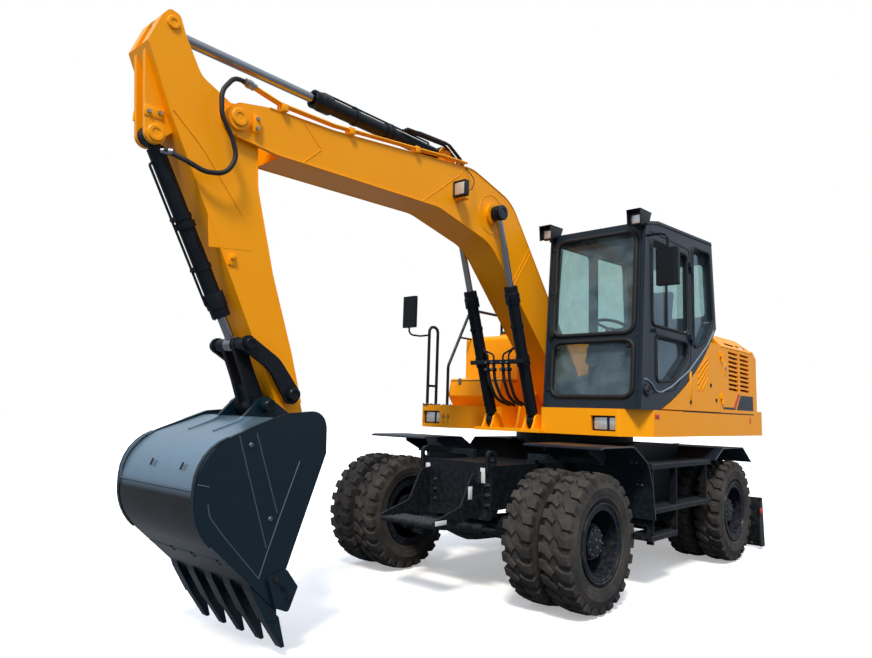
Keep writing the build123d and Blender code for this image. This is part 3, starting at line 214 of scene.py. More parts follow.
# The bucket's rolled shell is rubbed to bare metal between its edge strips and browner with soil under its
# belly; above the belly the bare metal carries a painted pale-blue reflection of the sky.
tree = bucket_blue[0].node_tree
shader = tree.nodes["Principled BSDF"]
place = add(tree, "TexCoord").outputs["Object"]
axes = add(tree, "SeparateXYZ", {}, {0: place})
from_middle = add(tree, "Math", {"operation": "ADD", 1: 0.06}, {0: axes.outputs["Y"]})
apart = add(tree, "Math", {"operation": "ABSOLUTE"}, {0: from_middle})
inner = add(tree, "Math", {"operation": "LESS_THAN", 1: 0.433}, {0: apart})
rolled = add(tree, "Math", {"operation": "COMPARE", 1: 0.91, 2: 0.455}, {0: axes.outputs["Z"]})
shell = add(tree, "Math", {"operation": "MULTIPLY"}, {0: inner, 1: rolled})
worn = add(tree, "TexNoise", {"Scale": 3.5, "Detail": 7.0, "Roughness": 0.7}, {"Vector": place})
rub = add(tree, "MapRange", {"From Min": 0.3, "From Max": 0.7, "To Min": 0.55, "To Max": 0.95},
          {0: worn.outputs["Fac"]})
bare = add(tree, "Math", {"operation": "MULTIPLY"}, {0: rub, 1: shell})
sky_reflection_above_belly = add(tree, "MapRange", {"From Min": 0.93, "From Max": 0.99}, {0: axes.outputs["Z"]})
# 353230 is soil under the belly; #93AEC0 above it is a painted sky reflection on the rubbed metal.
soil_and_sky_reflection = add(tree, "Mix", {"data_type": "RGBA", 6: linear("#353230"), 7: linear("#93AEC0")}, {0: sky_reflection_above_belly})
coat = shader.inputs["Base Color"].links[0].from_socket
rubbed_with_sky_reflection = add(tree, "Mix", {"data_type": "RGBA"}, {0: bare, 6: coat, 7: soil_and_sky_reflection.outputs[2]})
fill(tree, shader, {}, {"Base Color": rubbed_with_sky_reflection.outputs[2], "Metallic": bare})
paint_nodes(bucket_blue, "bucket")
paint_nodes(fender_blue, "fenders")
paint_nodes(cab_grey, "cab_front_frame", "cab_rear_frame", "cab_roof", "cab_floor", "cab_left_frame",
            "cab_right_frame", "cab_door")
for side in ("left", "right"):
    paint_nodes(rim_blue, f"rims_front_{side}", f"rims_rear_{side}")

# Bare and moulded stock. Hard chrome on the rods, zinc on bolts, cast iron, black moulded plastic, extruded
# black rubber: each from its usual roughness, with the fine grain that it keeps from how it was made.


def stock(name, slot, code, metallic, roughness, grain, depth):
    """A plain finish with an uneven tone and a grain, counted in a metre, and the slot that wears it."""
    shade = tuple(c * 0.72 for c in linear(code)[:3]) + (1.0,)
    finish, tree, shader, _ = mottled(name, (linear(code), shade), 9.0, 4.0,
                                      (roughness - 0.06, roughness + 0.08), grain, 2.0, depth)
    fill(tree, shader, {"Metallic": metallic}, {})
    return finish, slot


chrome = stock("hard chrome on steel rod", "rod_chrome", "#A4A6A9", 1.0, 0.16, 400.0, 0.02)
zinc = stock("zinc-plated steel", "rod_chrome", "#A9ACB0", 1.0, 0.38, 300.0, 0.08)
iron = stock("cast iron", "dark_paint", "#3A3B3D", 0.6, 0.6, 160.0, 0.25)
plastic = stock("black moulded ABS", "black_plastic", "#17191C", 0.0, 0.5, 700.0, 0.12)
# Black rubber for seals and hoses, also used as painted shade for the vent holes and drain slots.
rubber = stock("extruded black rubber and painted hole shade", "black_plastic", "#0A0C0F", 0.0, 0.62, 500.0, 0.1)
blank_plate = stock("white enamelled plate", "lamp_lens", "#E9EBEC", 0.0, 0.4, 300.0, 0.02)
red_lens = stock("red acrylic reflector", "lamp_lens", "#D6251C", 0.0, 0.2, 250.0, 0.05)
# Pale steel for the worn step ribs, edges and rings, also used as the painted highlight along the fender
# lips.
worn_steel_and_edge_highlight = stock("ground-worn steel and painted edge highlight", "dark_paint", "#6E7278", 0.9, 0.42, 220.0, 0.15)
paint_nodes(chrome, "boom_cylinder_rods", "arm_cylinder_rod", "bucket_cylinder_rod", "blade_cylinder_rods")
paint_nodes(iron, "engine_block")
paint_nodes(plastic, "cab_controls")


def settle(name, bm, body, finish, smooth=35):
    """Makes a finished bmesh a piece in a finish, riding on a body unless that is None."""
    material, slot = finish
    bmesh.ops.recalc_face_normals(bm, faces=bm.faces)
    mesh = bpy.data.meshes.new(name)
    bm.to_mesh(mesh)
    bm.free()
    mesh.materials.append(material)
    mesh.shade_smooth()
    mesh.set_sharp_from_angle(angle=radians(smooth))
    piece = bpy.data.objects.new(name, mesh)
    scene.collection.objects.link(piece)
    if body:
        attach(piece, body)
    return piece


def spun(bm, profile, centre, axis, steps):
    """Adds a closed turned ring or cap from (radius, along) points about an axis through a centre."""
    axis = Vector(axis)
    across = axis.orthogonal().normalized()
    verts = [bm.verts.new(Vector(centre) + across * radius + axis * along) for radius, along in profile]
    edges = [bm.edges.new(pair) for pair in zip(verts, verts[1:] + verts[:1])]
    bmesh.ops.spin(bm, geom=verts + edges, cent=centre, axis=axis, angle=2 * pi, steps=steps, use_merge=True)
    bmesh.ops.remove_doubles(bm, verts=bm.verts, dist=0.00002)


# Tyres. Twin 20-inch cross-ply tyres of black rubber, brown with dried mud: a carcass with bead rings, and
# two rows of bent blocks whose toes lock together along the middle and whose heels run down the shoulder.
muddy, tree, shader = blank_finish("mud-stained tyre rubber")
place = add(tree, "TexCoord").outputs["Object"]
mud = add(tree, "TexNoise", {"Scale": 7.0, "Detail": 6.0, "Roughness": 0.65}, {"Vector": place})
film = add(tree, "MapRange", {"From Min": 0.38, "From Max": 0.7, "To Min": 0.1, "To Max": 0.85},
           {0: mud.outputs["Fac"]})
tones = add(tree, "Mix", {"data_type": "RGBA", 6: linear("#1B1A1B"), 7: linear("#48413B")}, {0: film})
grit = add(tree, "TexNoise", {"Scale": 180.0, "Detail": 3.0}, {"Vector": place})
bump = add(tree, "Bump", {"Strength": 0.25, "Distance": 0.003}, {"Height": grit.outputs["Fac"]})
fill(tree, shader, {"Roughness": 0.82}, {"Base Color": tones.outputs[2], "Normal": bump})

block_count = 26
twin_offset = 0.16
tread_base = 0.446
tread_radius = 0.5045
sidewall = [(0.252, 0.094), (0.300, 0.096), (0.306, 0.106), (0.318, 0.108), (0.322, 0.118), (0.330, 0.121),
            (0.338, 0.119), (0.352, 0.124), (0.372, 0.127), (0.392, 0.1268), (0.396, 0.1285), (0.402, 0.1285),
            (0.406, 0.126), (0.440, 0.121), (0.466, 0.108), (0.482, 0.088), (0.486, 0.0)]
block_plan = [(0.121, -0.036), (0.121, 0.030), (0.070, 0.036), (0.018, 0.070), (0.004, 0.040),
              (0.042, -0.002), (0.060, -0.034)]


def ease(bm, edges, offset):
    """Rounds edges over by a width."""
    bmesh.ops.bevel(bm, geom=edges, offset=offset, segments=2, profile=0.5, affect="EDGES", material=-1)


def tread_block(bm, middle, flip):
    """One bent block of the tread at the bottom of a tyre, its toe towards the middle plane."""
    rim = [bm.verts.new((middle.x + along * flip, middle.y + across * flip, middle.z - tread_base))
           for across, along in block_plan]
    base = bm.faces.new(rim)
    raised = bmesh.ops.extrude_face_region(bm, geom=[base])["geom"]
    crown = [v for v in raised if isinstance(v, bmesh.types.BMVert)]
    bmesh.ops.translate(bm, verts=crown, vec=(0, 0, tread_base - tread_radius))
    for v in crown:
        v.co.z += 0.010 * (abs(v.co.y - middle.y) > 0.1)
    edges = [e for e in {edge for v in crown for edge in v.link_edges} if all(v in crown for v in e.verts)]
    ease(bm, edges, 0.004)


for end in ("front", "rear"):
    for side in ("left", "right"):
        hub = pivot[f"wheel_{end}_{side}_spin"]
        bm = bmesh.new()
        for plane in (-twin_offset, twin_offset):
            middle = hub + Vector((0, plane, 0))
            shell = [(r, y) for r, y in sidewall] + [(r, -y) for r, y in reversed(sidewall[:-1])]
            spun(bm, shell, middle, (0, 1, 0), 72)
            for flip in (1, -1):
                tread = bmesh.new()
                tread_block(tread, middle, flip)
                turn = Matrix.Rotation(2 * pi / block_count * 0.5 * (flip < 0), 3, "Y")
                bmesh.ops.rotate(tread, cent=middle, matrix=turn, verts=tread.verts)
                geom = tread.verts[:] + tread.edges[:] + tread.faces[:]
                bmesh.ops.spin(tread, geom=geom, cent=middle, axis=(0, 1, 0),
                               angle=2 * pi * (block_count - 1) / block_count, steps=block_count - 1,
                               use_duplicate=True)
                part = bpy.data.meshes.new("tread")
                tread.to_mesh(part)
                tread.free()
                bm.from_mesh(part)
                bpy.data.meshes.remove(part)
        tyre = settle(f"tyre_pair_{end}_{side}", bm, f"wheel_{end}_{side}", (muddy, "tyre_rubber"), 30)
        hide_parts(f"tyres_{end}_{side}")

# Wheel fittings. Rolled lock rings on the outer flanges, zinc wheel nuts on the disc, a hub cover held by
# ten screws, and three drain plugs: turned and pressed steel parts on the navy wheels.


def hex_heads(name, body, places, axis, across, height, finish=zinc):
    """Hexagon heads in one piece, standing on their places along an axis."""
    bm = bmesh.new()
    facing = Vector((0, 0, 1)).rotation_difference(Vector(axis)).to_matrix().to_4x4()
    for place in places:
        seat = Matrix.Translation(Vector(place) + Vector(axis) * height / 2) @ facing
        bmesh.ops.create_cone(bm, cap_ends=True, segments=6, radius1=across / 2, radius2=across / 2 * 0.94,
                              depth=height, matrix=seat)
    return settle(name, bm, body, finish, 20)


def ring_of(centre, axis, radius, count):
    """Places evenly round a circle."""
    axis = Vector(axis)
    first = axis.orthogonal().normalized() * radius
    return [Vector(centre) + Matrix.Rotation(2 * pi * n / count, 3, axis) @ first for n in range(count)]


for end in ("front", "rear"):
    for side, out in (("left", 1), ("right", -1)):
        hub = pivot[f"wheel_{end}_{side}_spin"]
        body = f"wheel_{end}_{side}"
        axis = (0, out, 0)
        bm = bmesh.new()
        outer_flange = twin_offset + 0.108
        for reach, radius, bulge in ((outer_flange, 0.284, 0.011), (outer_flange - 0.004, 0.262, 0.009)):
            ring = [(radius + bulge * cos(a), reach + bulge * sin(a))
                    for a in (2 * pi * n / 10 for n in range(10))]
            spun(bm, ring, hub, axis, 64)
        spun(bm, [(0.252, outer_flange - 0.05), (0.246, outer_flange - 0.05), (0.246, outer_flange - 0.002),
                  (0.252, outer_flange)], hub, axis, 64)
        settle(f"lock_rings_{end}_{side}", bm, body, rim_blue)
        bm = bmesh.new()
        cover = [(0.001, 0.205), (0.075, 0.205), (0.085, 0.2065), (0.108, 0.2065), (0.112, 0.211),
                 (0.104, 0.215), (0.088, 0.214), (0.080, 0.222), (0.050, 0.226), (0.001, 0.228)]
        spun(bm, cover, hub, axis, 40)
        settle(f"hub_cover_{end}_{side}", bm, body, rim_blue)
        for word, reach, radius, count, across, height in (("hub_screws", 0.214, 0.094, 10, 0.016, 0.009),
                                                           ("wheel_nuts", 0.008, 0.175, 10, 0.034, 0.03),
                                                           ("drain_plugs", 0.225, 0.034, 3, 0.022, 0.012)):
            places = ring_of(hub + Vector((0, reach * out, 0)), axis, radius, count)
            hex_heads(f"{word}_{end}_{side}", body, places, axis, across, height)

# Chassis fittings. The front plate is bolted on with zinc screws, its lashing eyes and the step carry blank
# white enamelled plates, and the step's tread is punched with raised non-slip rings.


def at(x, y, z):
    """A place in metres ahead of the swing axis, to the left, and above the ground."""
    return Vector((pivot["swing"].x + x, y, z))


def blocks(name, body, parts, finish, edge=0.002):
    """Eased bars and plates in one piece, each from its middle, its size and, if it leans, a matrix."""
    bm = bmesh.new()
    for middle, size, *tilt in parts:
        lean = tilt[0].to_4x4() if tilt else Matrix()
        seat = Matrix.Translation(middle) @ lean @ Matrix.Diagonal((*size, 1))
        bmesh.ops.create_cube(bm, size=1, matrix=seat)
    if edge:
        ease(bm, bm.edges[:], edge)
    return settle(name, bm, body, finish)


def turned(name, body, profile, places, axis, finish, steps=32):
    """Like turned rings or caps in one piece, from a closed outline of (radius, along)."""
    bm = bmesh.new()
    for place in places:
        spun(bm, profile, place, axis, steps)
    return settle(name, bm, body, finish)


front_face = 1.920
screws = [at(front_face, side * y, z) for side in (-1, 1) for y in (0.345, 0.365, 0.21)
          for z in (0.70, 0.78, 0.86)]
hex_heads("front_plate_screws", "undercarriage", screws, (1, 0, 0), 0.026, 0.014)
labels = [(at(2.06, side * 0.2865, 0.80), (0.05, 0.002, 0.10)) for side in (-1, 1)]
labels += [(at(front_face + 0.001, side * 0.30, 0.93), (0.002, 0.05, 0.12)) for side in (-1, 1)]
labels += [(at(2.40, 0.2865, 0.60), (0.13, 0.002, 0.035))]
blocks("blank_white_plates", "undercarriage", labels, blank_plate, 0.0008)
grip = [(0.009, 0.0), (0.014, 0.0), (0.013, 0.004), (0.010, 0.004)]
grips = [at(2.245 + 0.038 * row, -0.255 + 0.0365 * number + 0.018 * (row % 2), 0.590) for row in range(6)
         for number in range(14)]
turned("step_grip_rings", "undercarriage", grip, grips, (0, 0, 1), worn_steel_and_edge_highlight, 12)

# Side steps. Channel rails with pressed treads: worn cross ribs stand on each tread, and a thin bright edge
# shows where boots have rubbed the enamel off.
ribs = []
for side in (-1, 1):
    for first, count, width, level in ((-0.52, 33, 0.27, 1.045), (-0.52, 32, 0.27, 0.675),
                                       (0.30, 12, 0.19, 0.455)):
        for number in range(count):
            ribs.append((at(first + 0.04 * number, side * (1.208 - width / 2), level + 0.002),
                         (0.008, width, 0.004)))
blocks("step_ribs", "undercarriage", ribs, worn_steel_and_edge_highlight, 0)
worn_edges = [(at(x, side * 1.2155, z), (length, 0.002, 0.006)) for side in (-1, 1)
              for x, z, length in ((0.125, 1.04, 1.34), (0.11, 0.67, 1.30), (0.535, 0.45, 0.52))]
blocks("step_worn_edges", "undercarriage", worn_edges, worn_steel_and_edge_highlight, 0)

# Fender lips. The sheet's outer edge is rolled round a wire, drawn in pale ground-worn steel as a painted
# highlight along the painted edge, and the skirt behind the front wheel hangs on paired screws.


def side_on(y, *places):
    """Places in one lengthwise plane, each from how far ahead and how high it is."""
    return [at(x, y, z) for x, z in places]


def bent(corners, radius):
    """Points along a bent bar: straight runs with an arc of one radius at each corner."""
    path = [Vector(corners[0])]
    for before, corner, after in zip(corners, corners[1:], corners[2:]):
        corner = Vector(corner)
        back, ahead = Vector(before) - corner, Vector(after) - corner
        half = back.angle(ahead) / 2
        if half > pi / 2 - 0.005:
            path.append(corner)
            continue
        reach = min(radius / tan(half), back.length * 0.48, ahead.length * 0.48)
        start, end = corner + back.normalized() * reach, corner + ahead.normalized() * reach
        centre = corner + (back.normalized() + ahead.normalized()).normalized() * reach / cos(half)
        path += [centre + (start - centre).slerp(end - centre, step / 6) * (start - centre).length
                 for step in range(7)]
    return path + [Vector(corners[-1])]


def piping(name, body, runs, thickness, finish, closed=False):
    """Round bars, pipes or hoses in one piece, each a list of points in order."""
    lines = bpy.data.curves.new(name, "CURVE")
    lines.dimensions = "3D"
    lines.bevel_depth = thickness / 2
    lines.bevel_resolution = 5
    lines.use_fill_caps = not closed
    for run in runs:
        spline = lines.splines.new("POLY")
        spline.points.add(len(run) - 1)
        for point, place in zip(spline.points, run):
            point.co = (*place, 1)
        spline.use_cyclic_u = closed
    holder = bpy.data.objects.new(name, lines)
    scene.collection.objects.link(holder)
    mesh = bpy.data.meshes.new_from_object(holder.evaluated_get(bpy.context.evaluated_depsgraph_get()))
    bpy.data.objects.remove(holder)
    bm = bmesh.new()
    bm.from_mesh(mesh)
    bpy.data.meshes.remove(mesh)
    return settle(name, bm, body, finish)


front_lip = [(1.72, 1.185), (1.69, 1.196), (1.18, 1.196), (0.93, 1.056), (0.845, 0.866), (0.80, 0.59)]
rear_lip = [(-0.58, 1.037), (-0.80, 1.146), (-1.39, 1.146), (-1.65, 0.986)]
lips = [bent(side_on(side * 1.247, *line), radius) for side in (-1, 1)
        for line, radius in ((front_lip, 0.15), (rear_lip, 0.03))]
# The pale steel colour of the lips is a painted highlight on the rolled edge of the fender.
piping("fender_lips", "undercarriage", lips, 0.012, (worn_steel_and_edge_highlight[0], "fender_paint"))
pairs = [at(0.955 - 0.11 * n, side * y, 1.055 - 0.19 * n) for side in (-1, 1) for n in range(2)
         for y in (1.12, 1.16)]
hex_heads("fender_screws", "undercarriage", [p + Vector((0.012, 0, 0.005)) for p in pairs], (0.86, 0, 0.5),
          0.022, 0.01)

# Blade marks. An orange-red acrylic reflector with a raised face sits at each end of the blade, and the
# cutting edge is bolted on.
reflector = [(0.001, 0.0), (0.036, 0.0), (0.036, 0.006), (0.030, 0.010), (0.001, 0.011)]
for side, out in (("left", 1), ("right", -1)):
    turned(f"blade_reflector_{side}", "blade", reflector, [at(-2.045, 1.219 * out, 0.42)], (0, out, 0),
           red_lens)
hex_heads("edge_bolts", "blade", [at(-2.094, -1.10 + 0.22 * n, 0.06) for n in range(11)], (0.93, 0, -0.37),
          0.03, 0.012)

# Headlamps. A black moulded frame in each skirt pocket holds a large and a small lens of ribbed glass over
# bright reflectors.
ribbed, tree, shader = blank_finish("ribbed lamp glass")
place = add(tree, "TexCoord").outputs["Object"]
flutes = add(tree, "TexWave", {"bands_direction": "Y", "Scale": 26.0, "Distortion": 0.4},
             {"Vector": place}).outputs["Fac"]
glow = add(tree, "MapRange", {"To Min": 0.25, "To Max": 1.0}, {0: flutes})
tones = add(tree, "Mix", {"data_type": "RGBA", 6: linear("#9AA4AB"), 7: linear("#F4F7F8")}, {0: glow})
bump = add(tree, "Bump", {"Strength": 0.35, "Distance": 0.004}, {"Height": flutes})
fill(tree, shader, {"Metallic": 0.55, "Roughness": 0.16, "Coat Weight": 1.0, "Coat Roughness": 0.03},
     {"Base Color": tones.outputs[2], "Normal": bump})
lens_glass = ribbed, "lamp_lens"

lamp_face = 1.032
frames = []
lenses = []
for low_y, high_y in ((0.790, 1.020), (-1.180, -0.950)):
    middle = (low_y + high_y) / 2
    frames.append((at(lamp_face - 0.045, middle, 1.375), (0.05, high_y - low_y - 0.016, 0.114)))
    for y, wide in ((low_y + 0.006, 0.012), (high_y - 0.006, 0.012), (low_y + 0.148, 0.018)):
        frames.append((at(lamp_face - 0.02, y, 1.375), (0.04, wide, 0.126)))
    for z in (1.316, 1.434):
        frames.append((at(lamp_face - 0.02, middle, z), (0.04, high_y - low_y, 0.012)))
    lenses.append((at(lamp_face - 0.012, low_y + 0.076, 1.375), (0.018, 0.122, 0.104)))
    lenses.append((at(lamp_face - 0.012, low_y + 0.187, 1.375), (0.018, 0.056, 0.104)))
bezels = blocks("headlamp_frames", "upper", frames, plastic, 0.004)
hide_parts("lamps")
blocks("headlamp_lenses", "upper", lenses, lens_glass, 0.006)

# Skirt marks. Red acrylic reflectors are riveted on the side, and two groups of five small diamond vents are
# pressed through the front beside the right headlamp, drawn as flat black diamonds of painted shade.
blocks("side_reflectors", "upper", [(at(0.70, 1.227, 1.445), (0.085, 0.006, 0.035)),
                                    (at(-1.73, 1.227, 1.436), (0.022, 0.006, 0.075))], red_lens, 0.0025)
# Each vent is a flat black diamond on the face, painted shade standing in for the dark inside of the hole.
diamond = Matrix.Rotation(pi / 4, 3, "X")
vents = [(at(1.0602, centre + y, 1.38 + z), (0.002, 0.014, 0.014), diamond) for centre in (-0.895, -0.835)
         for y, z in ((0.0, 0.017), (0.0, -0.017), (0.0, -0.051), (0.013, 0.0), (-0.013, 0.0))]
blocks("diamond_vents", "upper", vents, rubber, 0)
blocks("deck_seal", "upper", [(at(-0.86, 1.2247, 1.503), (2.0, 0.003, 0.011)),
                              (at(-0.60, -1.2247, 1.503), (2.5, 0.003, 0.011))], rubber, 0)

# Housing fittings. Bent louvre blades close each grille slot from behind over a dark screen, the doors
# carry a recessed pull, latches and a lock, and a blank charcoal panel with one red slanted stripe runs low
# at the rear.
screen = stock("black wire screen", "black_plastic", "#101113", 0.3, 0.7, 900.0, 0.6)
blades = []
louvre_lean = Matrix.Rotation(radians(35), 3, "X")
for column in (-1.225, -1.580):
    for row in range(9):
        blades.append((at(column, 1.188, 1.742 + 0.048 * row + 0.006), (0.298, 0.003, 0.036), louvre_lean))
blocks("louvre_blades", "upper", blades, yellow, 0)
blocks("grille_screen", "upper", [(at(-1.4025, 1.166, 1.955), (0.72, 0.004, 0.45))], screen, 0)
blocks("vent_screen", "side_door", [(at(-0.36, 1.1985, 1.86), (0.34, 0.002, 0.40))], screen, 0)
vent_edges = []
for low, high in (((-0.225, 1.863), (-0.490, 2.022)), ((-0.225, 1.803), (-0.490, 1.975)),
                  ((-0.225, 1.742), (-0.490, 1.928)), ((-0.235, 1.685), (-0.470, 1.868)),
                  ((-0.330, 1.690), (-0.480, 1.815))):
    middle = at((low[0] + high[0]) / 2, 1.2262, (low[1] + high[1]) / 2 + 0.026)
    run = Vector((high[0] - low[0], 0, high[1] - low[1]))
    vent_edges.append((middle, (run.length, 0.008, 0.009),
                       Vector((1, 0, 0)).rotation_difference(run).to_matrix()))
blocks("vent_lips", "side_door", vent_edges, yellow, 0.003)
pull = [(at(-0.045, 1.2265, 1.75), (0.052, 0.005, 0.27)), (at(-0.045, 1.2285, 1.75), (0.022, 0.006, 0.22))]
blocks("door_pull", "side_door", pull, yellow, 0.002)
lock = [(0.001, 0.0), (0.019, 0.0), (0.019, 0.005), (0.015, 0.008), (0.006, 0.008), (0.005, 0.012),
        (0.001, 0.012)]
turned("door_locks", "side_door", lock, [at(-0.038, 1.2252, 1.59), at(-0.555, 1.2252, 1.775),
                                         at(-0.70, 1.2252, 1.63)], (0, 1, 0), plastic, 20)
blocks("latch_plate", "upper", [(at(-0.975, 1.2258, 1.962), (0.055, 0.004, 0.15))], yellow, 0.0015)
turned("latch", "upper", lock, [at(-0.975, 1.228, 1.97)], (0, 1, 0), zinc, 20)


def plates(name, body, outlines, depth, finish, edge=0.0):
    """Flat plates in one piece, each from its outline, with one depth."""
    bm = bmesh.new()
    for outline in outlines:
        face = bm.faces.new([bm.verts.new(corner) for corner in outline])
        raised = bmesh.ops.extrude_face_region(bm, geom=[face])["geom"]
        bmesh.ops.translate(bm, verts=[v for v in raised if isinstance(v, bmesh.types.BMVert)], vec=depth)
    if edge:
        ease(bm, bm.edges[:], edge)
    return settle(name, bm, body, finish)


charcoal = stock("satin charcoal film", "dark_paint", "#2B3138", 0.0, 0.45, 300.0, 0.03)
stripe_red = stock("satin red film", "lamp_lens", "#E0412A", 0.0, 0.42, 300.0, 0.03)
film_y = 1.2252
dark_panel = [[(-1.44, 1.705), (-1.845, 1.705), (-1.845, 1.545), (-1.30, 1.545)],
              [(-1.275, 1.567), (-0.90, 1.567), (-0.90, 1.545), (-1.26, 1.545)]]
plates("dark_panel", "upper", [side_on(film_y, *outline) for outline in dark_panel], (0, 0.0012, 0), charcoal)
plates("red_stripe", "upper", [side_on(film_y, (-1.35, 1.715), (-1.42, 1.715), (-1.27, 1.56), (-1.20, 1.56))],
       (0, 0.0014, 0), stripe_red)

# Cab glazing. Tempered panes 6 mm thick with a slight blue-green tint: clear to look through, brighter
# where they mirror the sky at a slant, and a little hazy where a wiper or a sleeve has passed.
glazing = bpy.data.materials.new("tinted tempered glass")
glazing.use_nodes = True
tree = glazing.node_tree
tree.nodes.clear()
place = add(tree, "TexCoord").outputs["Object"]
smears = add(tree, "TexNoise", {"Scale": 4.0, "Detail": 4.0, "Distortion": 1.2}, {"Vector": place})
film = add(tree, "MapRange", {"From Min": 0.3, "From Max": 0.75, "To Min": 0.05, "To Max": 0.15},
           {0: smears.outputs["Fac"]})
clear = add(tree, "BsdfTransparent", {"Color": linear("#E4F1EF")})
haze = add(tree, "BsdfDiffuse", {"Color": linear("#B4CDDD")})
pane = add(tree, "MixShader", {}, {0: film, 1: clear, 2: haze})
mirrored = add(tree, "BsdfAnisotropic", {"Color": linear("#DCE9F6"), "Roughness": 0.05})
facing = add(tree, "LayerWeight", {"Blend": 0.5})
steep = add(tree, "Math", {"operation": "POWER", 1: 3.5}, {0: facing.outputs["Facing"]})
slant = add(tree, "MapRange", {"To Min": 0.03, "To Max": 0.8}, {0: steep})
surface = add(tree, "MixShader", {}, {0: slant, 1: pane, 2: mirrored})
add(tree, "OutputMaterial", {}, {"Surface": surface})
paint_nodes((glazing, "glass"), "cab_glass", "cab_door_glass")

# Cab seals and trim. Extruded rubber holds every pane, with wide rounded corners; a pale strip along the
# curved foot of the door is a painted highlight where the cab's dark lower frame mirrors the sky, and black
# buttons cover the screws of the front posts.


def ring_path(corners, radius):
    """The closed path of a rounded outline, starting halfway along its last side."""
    start = (Vector(corners[-1]) + Vector(corners[0])) / 2
    return bent([start, *corners, start], radius)[:-1]


def screen_x(z):
    """How far forward the leaning front of the cab is at a height."""
    return 1.010 - 0.0708 * (z - 1.5)


screens = [[at(screen_x(z), y, z) for y, z in ((0.350, low), (1.145, low), (1.145, high), (0.350, high))]
           for low, high in ((1.60, 2.09), (2.15, 3.05))]
rear_screen = [at(-0.735 + 0.1011 * (z - 2.36), y, z)
               for y, z in ((0.36, 2.48), (1.135, 2.48), (1.135, 3.05), (0.36, 3.05))]
quarter = side_on(1.225, (-0.13, 2.10), (-0.13, 3.10), (-0.57, 3.12), (-0.64, 2.42), (-0.43, 2.20))
right_front = side_on(0.270, (0.87, 1.70), (0.79, 3.06), (0.15, 3.08), (0.15, 1.85))
right_rear = side_on(0.270, (0.07, 1.90), (0.07, 3.09), (-0.59, 3.12), (-0.64, 2.45))
door_upper = side_on(1.221, (0.775, 2.23), (0.775, 2.99), (0.0, 2.99), (0.0, 2.23))
door_lower = side_on(1.221, (0.70, 1.74), (0.70, 2.15), (0.01, 2.15), (0.01, 2.01), (0.36, 1.77))
door_edge = side_on(1.219, (0.84, 1.636), (0.84, 3.055), (-0.064, 3.055), (-0.064, 1.957), (0.329, 1.685))
piping("screen_seals", "upper", [ring_path(c, 0.085) for c in screens], 0.040, rubber, closed=True)
piping("cab_seals", "upper", [ring_path(c, 0.06) for c in (rear_screen, quarter, right_front, right_rear)],
       0.028, rubber, closed=True)
piping("door_seals", "door", [ring_path(c, 0.055) for c in (door_upper, door_lower)], 0.028, rubber,
       closed=True)
piping("door_edge_seal", "upper", [ring_path(door_edge, 0.05)], 0.013, rubber, closed=True)
blocks("sliding_pane_bars", "door", [(at(0.39, 1.186, 2.61), (0.026, 0.016, 0.75)),
                                     (at(0.39, 1.212, 2.185), (0.76, 0.012, 0.05))], plastic)
# The pale blue-grey colour of this strip is a painted highlight of the sky on the cab's dark lower frame.
painted_highlight_strip = stock("pale painted highlight strip", "dark_paint", "#8FA3B2", 0.5, 0.34, 260.0, 0.04)
door_foot = bent(side_on(1.2275, (0.955, 1.755), (0.885, 1.752), (0.79, 1.715), (0.72, 1.66), (0.62, 1.655),
                         (0.40, 1.715), (-0.01, 1.885), (-0.475, 2.165), (-0.66, 2.33)), 0.12)
piping("door_foot_strip", "upper", [door_foot], 0.016, painted_highlight_strip)
gutter = [at(0.905, 1.2265, 3.06), at(0.885, 1.2265, 3.100), at(0.635, 1.2265, 3.152),
          at(-0.64, 1.2265, 3.221)]
piping("gutter_line", "upper", [gutter], 0.013, rubber)
posts = [[at(screen_x(z) + 0.002, y, z) for z in (1.53, 3.11)] for y in (0.285, 1.180, 1.212)]
piping("post_beads", "upper", posts, 0.016, cab_grey)
button = [(0.001, 0.0), (0.015, 0.0), (0.015, 0.006), (0.010, 0.011), (0.001, 0.011)]
buttons = [at(screen_x(z), y, z) for y in (0.315, 1.178) for z in (1.66, 2.12, 2.56, 2.98)]
turned("post_buttons", "upper", button, buttons, (0.9975, 0, 0.0706), rubber, 16)
turned("pane_knobs", "upper", [(r * 1.5, a * 1.6) for r, a in button],
       [at(screen_x(2.04) - 0.008, y, 2.04) for y in (0.405, 1.09)], (0.9975, 0, 0.0706), rubber, 20)
knob = [(0.001, 0.0), (0.052, 0.0), (0.052, 0.012), (0.046, 0.020), (0.034, 0.020), (0.030, 0.014),
        (0.012, 0.014), (0.010, 0.026), (0.001, 0.026)]
turned("air_knob", "upper", knob, [at(0.895, 1.2252, 1.66)], (0, 1, 0), plastic)
wiper = [[at(screen_x(z) + 0.022, y, z) for y, z in ((0.345, 2.19), (0.352, 2.46), (0.402, 2.70))],
         [at(screen_x(z) + 0.018, y, z) for y, z in ((0.390, 2.36), (0.412, 3.00))]]
piping("wiper", "upper", wiper, 0.012, plastic)
blocks("wiper_motor", "upper", [(at(screen_x(2.18) + 0.018, 0.342, 2.18), (0.036, 0.05, 0.07))], plastic,
       0.006)
silvered = stock("silvered mirror glass", "rod_chrome", "#D7DEE3", 1.0, 0.08, 200.0, 0.01)
blocks("mirror_glasses", "upper", [(at(0.8435, 1.415, 2.70), (0.004, 0.165, 0.28)),
                                   (at(1.0585, -1.40, 2.50), (0.004, 0.165, 0.31))], silvered, 0.0015)

# Work lamps. Hooded black lamps on the roof's front corners and a square one on the boom: pressed housings
# with ribbed glass over a bright reflector, each on a bolted foot.


